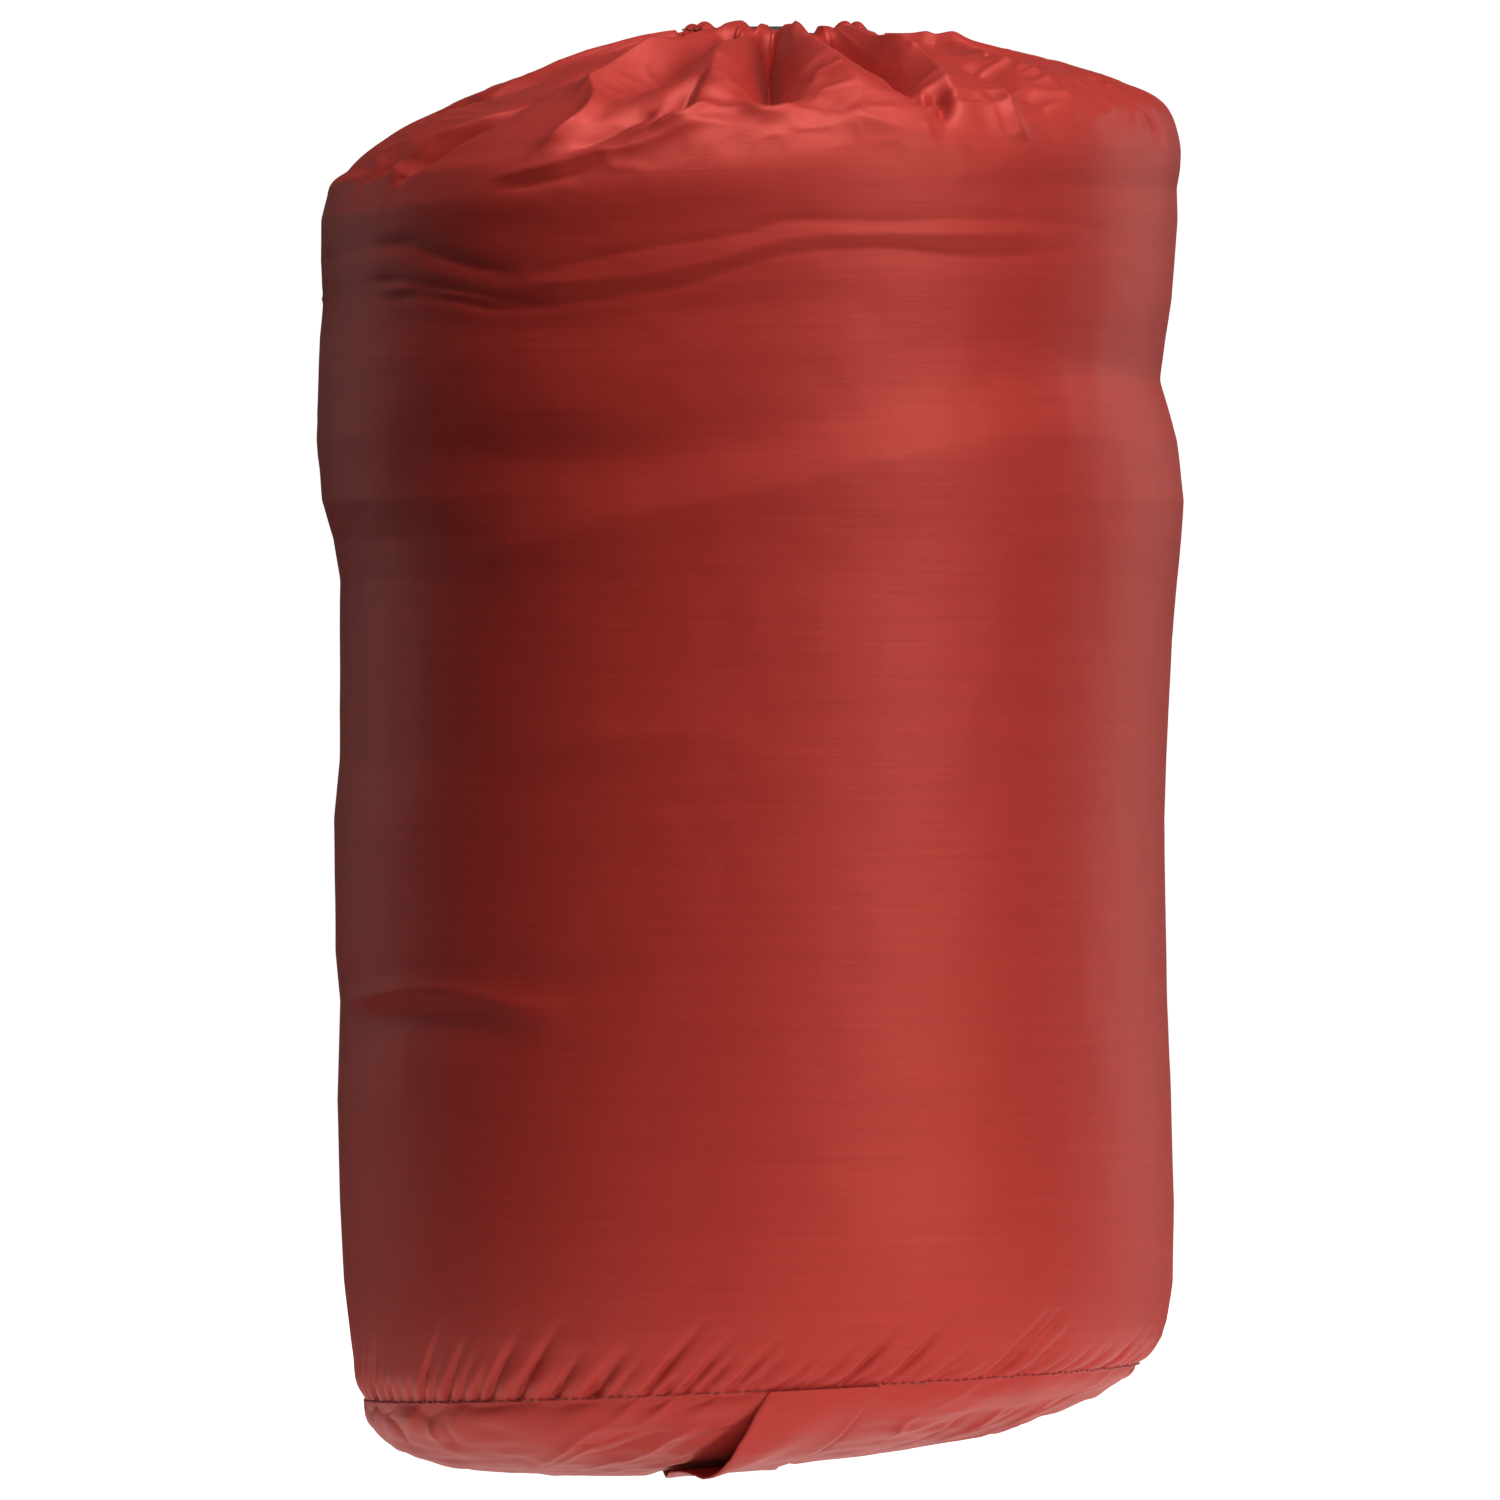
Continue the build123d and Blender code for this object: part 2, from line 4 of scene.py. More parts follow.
import bpy
import numpy as np
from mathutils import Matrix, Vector


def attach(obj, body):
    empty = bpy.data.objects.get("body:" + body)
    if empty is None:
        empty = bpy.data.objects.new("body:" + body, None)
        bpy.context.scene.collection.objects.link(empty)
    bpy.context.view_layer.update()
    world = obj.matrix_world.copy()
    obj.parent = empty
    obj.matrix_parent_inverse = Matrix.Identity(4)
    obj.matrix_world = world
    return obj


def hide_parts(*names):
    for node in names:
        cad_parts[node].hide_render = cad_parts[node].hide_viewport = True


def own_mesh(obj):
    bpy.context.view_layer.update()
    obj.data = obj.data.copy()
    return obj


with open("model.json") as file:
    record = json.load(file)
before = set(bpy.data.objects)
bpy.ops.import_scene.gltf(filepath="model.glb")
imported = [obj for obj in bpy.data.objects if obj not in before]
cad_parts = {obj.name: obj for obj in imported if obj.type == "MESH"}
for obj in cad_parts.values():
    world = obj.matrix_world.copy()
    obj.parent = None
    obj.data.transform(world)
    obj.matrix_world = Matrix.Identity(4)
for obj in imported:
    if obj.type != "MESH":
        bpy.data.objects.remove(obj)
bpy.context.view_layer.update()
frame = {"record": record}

MM = 0.001
rng = np.random.default_rng(7)

# ================================
# Camera: from the front and far away, looking down on the middle of the sack by a fraction of a degree
# ================================
VIEW_WIDTH = 0.4712
SENSOR_WIDTH = 36.0
CAMERA_DISTANCE = 4.5
VIEW_CENTRE = Vector((-0.0013, 0.0, 0.2277))
CAMERA_LIFT = math.radians(0.4)

cam_data = bpy.data.cameras.new("camera")
cam_data.sensor_width = SENSOR_WIDTH
cam_data.lens = SENSOR_WIDTH * CAMERA_DISTANCE / VIEW_WIDTH
cam_data.clip_end = 50.0
cam = bpy.data.objects.new("camera", cam_data)
bpy.context.scene.collection.objects.link(cam)
cam.location = VIEW_CENTRE + CAMERA_DISTANCE * Vector(
    (0.0, -math.cos(CAMERA_LIFT), math.sin(CAMERA_LIFT))
)
cam.rotation_euler = (VIEW_CENTRE - cam.location).to_track_quat("-Z", "Y").to_euler()
bpy.context.scene.camera = cam


# ================================
# Materials
# ================================
def new_material(name):
    """A material with its node tree and its shader."""
    mat = bpy.data.materials.new(name)
    mat.use_nodes = True
    tree = mat.node_tree
    shader = tree.nodes["Principled BSDF"]
    return mat, tree, shader


def noise(tree, scale, detail=3.0, rough=0.5, stretch=None):
    """Noise in the object's own coordinates, stretched along an axis if asked."""
    coords = tree.nodes.new("ShaderNodeTexCoord")
    source = coords.outputs["Object"]
    if stretch:
        mapping = tree.nodes.new("ShaderNodeMapping")
        mapping.inputs["Scale"].default_value = stretch
        tree.links.new(source, mapping.inputs["Vector"])
        source = mapping.outputs["Vector"]
    tex = tree.nodes.new("ShaderNodeTexNoise")
    tex.inputs["Scale"].default_value = scale
    tex.inputs["Detail"].default_value = detail
    tex.inputs["Roughness"].default_value = rough
    tree.links.new(source, tex.inputs["Vector"])
    return tex.outputs["Fac"]


def bump(tree, shader, heights):
    """Chain of bumps: (height socket, strength, distance)."""
    last = None
    for height, strength, distance in heights:
        node = tree.nodes.new("ShaderNodeBump")
        node.inputs["Strength"].default_value = strength
        node.inputs["Distance"].default_value = distance
        tree.links.new(height, node.inputs["Height"])
        if last:
            tree.links.new(last, node.inputs["Normal"])
        last = node.outputs["Normal"]
    tree.links.new(last, shader.inputs["Normal"])


def colour_mix(tree, factor, dark, light):
    """Two colours mixed by a factor, with soft limits."""
    ramp = tree.nodes.new("ShaderNodeValToRGB")
    ramp.color_ramp.elements[0].position = 0.3
    ramp.color_ramp.elements[0].color = (*dark, 1)
    ramp.color_ramp.elements[1].position = 0.7
    ramp.color_ramp.elements[1].color = (*light, 1)
    tree.links.new(factor, ramp.inputs["Fac"])
    return ramp.outputs["Color"]


def taffeta(name, dark, light, roughness):
    """Coated taffeta: smooth, close weave, streaks along the thread, a satin sheen in its own colour."""
    mat, tree, shader = new_material(name)
    streaks = noise(tree, 42.0, 3.0, 0.6, (0.45, 0.45, 11.0))
    tree.links.new(colour_mix(tree, streaks, dark, light), shader.inputs["Base Color"])
    shader.inputs["Metallic"].default_value = 0.16
    shader.inputs["Roughness"].default_value = roughness
    shader.inputs["Specular IOR Level"].default_value = 0.45
    shader.inputs["Specular Tint"].default_value = (1.0, 0.86, 0.76, 1)
    shader.inputs["Sheen Weight"].default_value = 0.05
    shader.inputs["Sheen Roughness"].default_value = 0.4
    shader.inputs["Sheen Tint"].default_value = (1.0, 0.66, 0.55, 1)
    bump(tree, shader, [
        (noise(tree, 30.0, 5.0, 0.55), 0.05, 0.004),
        (noise(tree, 55.0, 3.0, 0.6, (0.5, 0.5, 9.0)), 0.10, 0.0008),
        (noise(tree, 2600.0, 1.0, 0.5, (1.0, 1.0, 0.5)), 0.12, 0.0002),
    ])
    return mat


def plain(name, colour, roughness, metallic=0.0):
    """One smooth colour: plastic, or metal."""
    mat, tree, shader = new_material(name)
    shader.inputs["Base Color"].default_value = (*colour, 1)
    shader.inputs["Roughness"].default_value = roughness
    shader.inputs["Metallic"].default_value = metallic
    return mat


def woven(name, colour, scale=900.0, roughness=0.8):
    """A rough woven or brushed surface; scale is how close the weave is."""
    mat, tree, shader = new_material(name)
    shader.inputs["Base Color"].default_value = (*colour, 1)
    shader.inputs["Roughness"].default_value = roughness
    shader.inputs["Sheen Weight"].default_value = 0.3
    bump(tree, shader, [(noise(tree, scale, 2.0, 0.6), 0.5, 0.0006)])
    return mat


MATERIALS = {
    "sack_cloth": taffeta("sack_taffeta", (0.465, 0.027, 0.020), (0.51, 0.032, 0.024), 0.54),
    "sack_thread": woven("sack_thread", (0.27, 0.024, 0.02)),
    "binding_tape": woven("binding_tape", (0.14, 0.018, 0.015)),
    "cord_cover": woven("cord_cover", (0.018, 0.018, 0.020), 1400.0),
    "lock_plastic": plain("lock_plastic", (0.055, 0.058, 0.062), 0.38),
    "spring_steel": plain("spring_steel", (0.6, 0.6, 0.6), 0.25, 1.0),
    "bag_cloth": taffeta("bag_taffeta", (0.30, 0.032, 0.026), (0.37, 0.042, 0.033), 0.5),
    "fill": woven("fibre_fill", (0.85, 0.85, 0.83), 120.0, 0.95),
    "liner_cloth": woven("brushed_liner", (0.13, 0.13, 0.14), 500.0, 0.9),
    "zip_tape": woven("zip_tape", (0.012, 0.012, 0.013)),
    "zip_coil": plain("zip_coil", (0.012, 0.012, 0.013), 0.35),
    "zip_metal": plain("zip_enamel", (0.014, 0.014, 0.015), 0.3),
    "stop_metal": plain("stop_metal", (0.55, 0.55, 0.55), 0.3, 1.0),
    "tie_ribbon": woven("tie_ribbon", (0.014, 0.014, 0.016)),
    "label_cloth": woven("label_cloth", (0.82, 0.82, 0.80), 1200.0, 0.7),
}


def dress(obj, slot_name):
    """Give an object the material of a slot."""
    obj.data.materials.clear()
    obj.data.materials.append(MATERIALS[slot_name])


SLOT_OF = {s["node"]: s["material_slot"] for s in frame["record"]["subparts"]}
for node, slot_name in SLOT_OF.items():
    if node in bpy.data.objects:
        dress(bpy.data.objects[node], slot_name)


def sack_piece(obj, slot_name, *nodes):
    """A piece that belongs to the sack and stands in for these CAD nodes."""
    dress(obj, slot_name)
    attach(obj, "sack")
    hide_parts(*nodes)


def add_object(name, data):
    """A new object in the scene."""
    obj = bpy.data.objects.new(name, data)
    bpy.context.scene.collection.objects.link(obj)
    return obj


def add_mesh(name, verts, faces):
    """A smooth-shaded mesh object."""
    mesh = bpy.data.meshes.new(name)
    mesh.from_pydata(verts, [], faces)
    mesh.polygons.foreach_set("use_smooth", [True] * len(mesh.polygons))
    return add_object(name, mesh)


# ================================
# Drawcord: two tails from the channel, through the lock, over the rim, down the back
# ================================
CORD_DIAMETER = 2.0
CORD_SPREAD = 1.05
LOCK_X = 6.3
LOCK_Y = -10.5
LOCK_Z = 448.2
MOUTH_X = 7.0
MOUTH_Z = 445.4
MOUTH_TILT = math.radians(10.0)
CHANNEL_RADIUS = 29.0
CHANNEL_GAP = math.radians(32.0)

# Each tail runs through these places: how far it is from the lock's middle line, y, z.
TAIL_RUN = [
    (1.10, -25.0, LOCK_Z),
    (1.10, LOCK_Y, LOCK_Z),
    (1.10, 24.0, LOCK_Z),
    (3.2, 41.0, 451.4),
    (4.4, 63.0, 450.6),
    (3.0, 86.0, 446.0),
    (2.0, 108.0, 438.5),
    (2.6, 127.5, 426.5),
    (3.2, 139.5, 407.0),
    (3.6, 142.0, 381.0),
    (2.4, 140.0, 352.0),
    (3.4, 138.5, 322.0),
    (1.6, 138.0, 292.0),
    (1.9, 138.6, 264.0),
    (CORD_SPREAD, 137.6, 238.0),
    (CORD_SPREAD, 137.2, 216.0),
]
STRAIGHT_POINTS = 3
TAIL_SWAY = 1.2


def mouth_point(angle, radius, height=0.0):
    """Point near the gathered mouth: angle from +X, radius and height in its own tilted frame."""
    x = radius * math.cos(angle)
    y = radius * math.sin(angle)
    c, s = math.cos(MOUTH_TILT), math.sin(MOUTH_TILT)
    return (MOUTH_X + x, y * c + height * s, MOUTH_Z - y * s + height * c)


def tail_points(side):
    """Route of a tail: straight through the lock, then swaying a little, to the knot."""
    pts = [mouth_point(-math.pi / 2 + side * CHANNEL_GAP, CHANNEL_RADIUS)]
    for k, (dx, y, z) in enumerate(TAIL_RUN):
        held = k < STRAIGHT_POINTS or k == len(TAIL_RUN) - 1
        sway = 0.0 if held else TAIL_SWAY * math.sin(0.9 * (k - 1) + (1.1 if side > 0 else 0.2))
        pts.append((LOCK_X + side * dx + sway, y, z))
    return pts


def nurbs(name, pts, diameter):
    """A round cord along points in millimetres."""
    data = bpy.data.curves.new(name, "CURVE")
    data.dimensions = "3D"
    spline = data.splines.new("NURBS")
    spline.points.add(len(pts) - 1)
    for p, q in zip(spline.points, pts):
        p.co = (q[0] * MM, q[1] * MM, q[2] * MM, 1.0)
    spline.order_u = 3
    spline.use_endpoint_u = True
    data.resolution_u = 16
    data.bevel_depth = diameter * MM / 2
    data.bevel_resolution = 4
    data.use_fill_caps = True
    return add_object(name, data)


def tube_mesh(name, lines, diameter, sides=10):
    """One mesh of round tubes, each along its own list of points; closed lines repeat their start."""
    verts, faces = [], []
    for line in lines:
        line = np.array(line, float)
        closed = np.linalg.norm(line[0] - line[-1]) < 1e-6
        if closed:
            line = line[:-1]
            run = np.roll(line, -1, axis=0) - np.roll(line, 1, axis=0)
        else:
            run = np.gradient(line, axis=0)
        count = len(line)
        run /= np.linalg.norm(run, axis=1, keepdims=True)
        across = np.cross(run[0], (0.31, 0.87, 0.39))
        start = len(verts)
        for point, ahead in zip(line, run):
            across = across - ahead * np.dot(across, ahead)
            across /= np.linalg.norm(across)
            up = np.cross(ahead, across)
            for k in range(sides):
                a = 2 * math.pi * k / sides
                spot = point + diameter / 2 * (math.cos(a) * across + math.sin(a) * up)
                verts.append(tuple(spot * MM))
        for i in range(count if closed else count - 1):
            j = (i + 1) % count
            shift = 0
            if closed and j == 0:
                last_spoke = np.array(verts[start + i * sides]) / MM - line[i]
                first_spokes = np.array(verts[start:start + sides]) / MM - line[0]
                shift = int(np.argmin(np.linalg.norm(first_spokes - last_spoke, axis=1)))
            near, far = start + i * sides, start + j * sides
            for k in range(sides):
                m = (k + 1) % sides
                faces.append((near + k, near + m, far + (m + shift) % sides, far + (k + shift) % sides))
        if not closed:
            faces.append(tuple(start + k for k in range(sides - 1, -1, -1)))
            faces.append(tuple(start + (count - 1) * sides + k for k in range(sides)))
    return add_mesh(name, verts, faces)


# The overhand knot that ties the tails together: a trefoil, with the two short ends below it.
KNOT_AT = np.array([LOCK_X, 137.2, 211.8])
KNOT_SCALE = 1.25
KNOT_STEPS = 72
END_STEPS = 15
END_APART = 0.9
END_TOP = 4.2
END_BEND = -1.2


def knot_end(side, drop):
    """One short end of the cord: down through the knot, then hanging below it."""
    points = []
    for q in np.linspace(0, 2, END_STEPS):
        if q < 1:
            offset = (side * END_APART, 0, END_TOP - q * (END_TOP - END_BEND))
        else:
            offset = (side * END_APART * q, 0.5 * math.sin(2 * q), END_BEND - (q - 1) * (drop + END_BEND))
        points.append(KNOT_AT + offset)
    return points


turns = np.linspace(0, 2 * math.pi, KNOT_STEPS + 1)
trefoil = np.stack([
    np.sin(turns) + 2 * np.sin(2 * turns),
    1.15 * -np.sin(3 * turns),
    np.cos(turns) - 2 * np.cos(2 * turns),
], axis=-1) * KNOT_SCALE + KNOT_AT
trefoil[-1] = trefoil[0]
knot = tube_mesh("tail_knot_cord", [trefoil, knot_end(-1, 18.5), knot_end(1, 16.5)], CORD_DIAMETER)
sack_piece(knot, "cord_cover", "tail_knot")

for label, side in (("left", -1), ("right", 1)):
    pts = tail_points(side)
    tail = nurbs(f"drawcord_tail_{label}_cord", pts, CORD_DIAMETER)
    sack_piece(tail, "cord_cover", f"drawcord_tail_{label}")

# ================================
# Cloth of the sack: sections through its outside, in millimetres. Each row is a leaning
# circle: radius, centre x, centre z, slope to the right, slope to the back
# ================================
WALL = [
    (122.5, -1.0, 29.2, 0.0465, -0.024),
    (127.5, 0.3, 44.0, 0.025, -0.014),
    (130.2, 0.6, 64.0, 0.010, 0.0),
    (131.0, 0.0, 110.0, 0.0, 0.0),
    (131.2, 0.0, 200.0, 0.0, 0.0),
    (132.6, -0.5, 290.0, 0.0, 0.0),
    (133.4, -1.5, 345.0, 0.015, 0.0),
    (134.2, -1.0, 388.0, 0.045, 0.0),
    (133.5, -0.5, 408.0, 0.085, 0.0),
    (128.0, 0.5, 419.0, 0.083, 0.0),
    (115.0, 0.5, 427.5, 0.075, -0.01),
    (99.0, 0.5, 433.5, 0.066, -0.02),
    (70.5, 1.5, 441.0, 0.055, -0.07),
    (46.0, 5.0, 445.2, 0.025, -0.15),
    (34.6, 7.0, 446.4, 0.0, -0.176),
]
SHARE_STEPS = 800


def hermite(start, end, start_slope, end_slope, u):
    """Smooth run from start to end that leaves and arrives with the given slopes."""
    return ((2 * u**3 - 3 * u**2 + 1) * start + (u**3 - 2 * u**2 + u) * start_slope
            + (-2 * u**3 + 3 * u**2) * end + (u**3 - u**2) * end_slope)


def smooth_rows(rows, count, density=((0, 1), (1, 1))):
    """Smooth curve through the rows; density says where along the profile the samples crowd."""
    rows = np.array(rows, float)
    step = np.hypot(np.diff(rows[:, 0]), np.diff(rows[:, 2]))
    knots = np.concatenate([[0], np.cumsum(step)])
    slopes = np.gradient(rows, knots, axis=0)
    share = np.linspace(0, 1, SHARE_STEPS)
    crowd = np.cumsum(np.interp(share, *zip(*density)))
    t = np.interp(np.linspace(crowd[0], crowd[-1], count), crowd, share) * knots[-1]
    i = np.clip(np.searchsorted(knots, t, side="right") - 1, 0, len(knots) - 2)
    h = (knots[i + 1] - knots[i])[:, None]
    u = ((t - knots[i]) / (knots[i + 1] - knots[i]))[:, None]
    return hermite(rows[i], rows[i + 1], slopes[i] * h, slopes[i + 1] * h, u), t


def surface(rows, angles):
    """Points (row, angle, xyz) of a stack of leaning circles."""
    r, cx, cz, sx, sy = [c[:, None] for c in rows.T]
    x = r * np.cos(angles)
    y = r * np.sin(angles)
    return np.stack([cx + x, y, cz + sx * x + sy * y], axis=-1)


def grid_normals(p):
    """Outward normals of a closed-round grid."""
    du = np.roll(p, -1, axis=1) - np.roll(p, 1, axis=1)
    dv = np.gradient(p, axis=0)
    n = np.cross(du, dv)
    return n / np.maximum(np.linalg.norm(n, axis=-1, keepdims=True), 1e-9)


def smoothstep(x, a, b):
    """0 below a, 1 above b, and smooth between."""
    t = np.clip((x - a) / (b - a), 0, 1)
    return t * t * (3 - 2 * t)


def value_noise(shape, cells):
    """Smooth random field over a grid, with so many cells up and so many round; it closes round."""
    rows, cols = cells
    g = rng.normal(size=(rows + 3, cols))
    v = np.linspace(0, rows - 1e-6, shape[0])
    u = np.linspace(0, cols, shape[1], endpoint=False)
    vi, ui = v.astype(int), u.astype(int)
    fv, fu = v - vi, u - ui
    fv = (fv * fv * (3 - 2 * fv))[:, None]
    fu = (fu * fu * (3 - 2 * fu))[None, :]
    a = g[vi][:, ui % cols]
    b = g[vi][:, (ui + 1) % cols]
    c = g[vi + 1][:, ui % cols]
    d = g[vi + 1][:, (ui + 1) % cols]
    return (a * (1 - fu) + b * fu) * (1 - fv) + (c * (1 - fu) + d * fu) * fv


def loop_noise(table, place):
    """Smooth value from a table that repeats; place counts its entries."""
    low = np.floor(place).astype(int)
    part = place - low
    part = part * part * (3 - 2 * part)
    return table[low % len(table)] * (1 - part) + table[(low + 1) % len(table)] * part


def mesh_from_grid(name, p, flip=False):
    """Mesh of a grid of points in millimetres that closes round; flip turns its faces over."""
    rows, cols = p.shape[:2]
    verts = (p.reshape(-1, 3) * MM).tolist()
    faces = []
    for i in range(rows - 1):
        a = i * cols
        for j in range(cols):
            k = (j + 1) % cols
            quad = (a + j, a + k, a + cols + k, a + cols + j)
            faces.append(quad[::-1] if flip else quad)
    return add_mesh(name, verts, faces)


# ================================
# Side panel: the wall and the gathered dome, with their folds, gathers and puckers
# ================================
ANGLES = 900
theta = np.linspace(-math.pi, math.pi, ANGLES, endpoint=False)
WALL_ROWS = 420
WALL_DENSITY = ((0, 3), (0.04, 3), (0.08, 1.6), (0.50, 1.6), (0.55, 3), (1, 3))
rows, height_along = smooth_rows(WALL, WALL_ROWS, WALL_DENSITY)
wall = surface(rows, theta)
PROFILE_LENGTH = height_along[-1]

# Where the left and right edges of the sack stand, by height: the soft load bulges and nips in.
LEFT_EDGE = [
    (23.4, -122.9), (29.3, -124.3), (38, -126.0), (45, -126.9), (61, -128.8), (86, -130.2),
    (118, -131.2), (149, -130.3), (165, -131.9), (206, -132.5), (225, -130.9), (262, -131.2),
    (281, -131.1), (294, -133.2), (306, -136.9), (325, -138.0), (344, -137.3), (357, -136.9),
    (369, -135.6), (381, -136.0), (394, -135.5), (401, -133.6),
]
RIGHT_EDGE = [
    (34.2, 121.0), (39.5, 124.4), (44.3, 128.0), (48.7, 129.6), (61, 131.5), (86, 132.0),
    (118, 131.3), (149, 130.0), (206, 129.1), (225, 129.7), (262, 131.5), (281, 133.1),
    (294, 134.5), (306, 135.2), (325, 133.2), (344, 129.0), (357, 130.0), (369, 131.4),
    (394, 132.8), (404, 132.4), (410, 133.4),
]
EDGE_FADE = 8
EDGE_POWER = 2.2
# Height of the soft lumps that the load makes in the middle stretch of the wall.
LUMPS = 0.6


def edge_push(table, side):
    """How far each row has to go out at one side (-1 left, 1 right) to reach its edge."""
    heights = [p[0] for p in table]
    edge_x = [p[1] for p in table]
    at_edge = rows[:, 1] + side * rows[:, 0]
    level = rows[:, 2] + side * rows[:, 3] * rows[:, 0]
    push = side * (np.interp(level, heights, edge_x) - at_edge)
    fade = 1 - smoothstep(level, heights[-1], heights[-1] + EDGE_FADE)
    return push * fade


def side_share(side):
    """How much of an edge's push reaches each angle: all at the edge, none at front and back."""
    return np.clip(side * np.cos(theta), 0, 1) ** EDGE_POWER


normal = grid_normals(wall)
push = edge_push(LEFT_EDGE, -1)[:, None] * side_share(-1)
push += edge_push(RIGHT_EDGE, 1)[:, None] * side_share(1)
middle_height = smoothstep(wall[..., 2], 60, 120) * (1 - smoothstep(wall[..., 2], 360, 400))
push += LUMPS * value_noise(push.shape, (5, 9)) * middle_height
wall = wall + normal * push[..., None]
normal = grid_normals(wall)

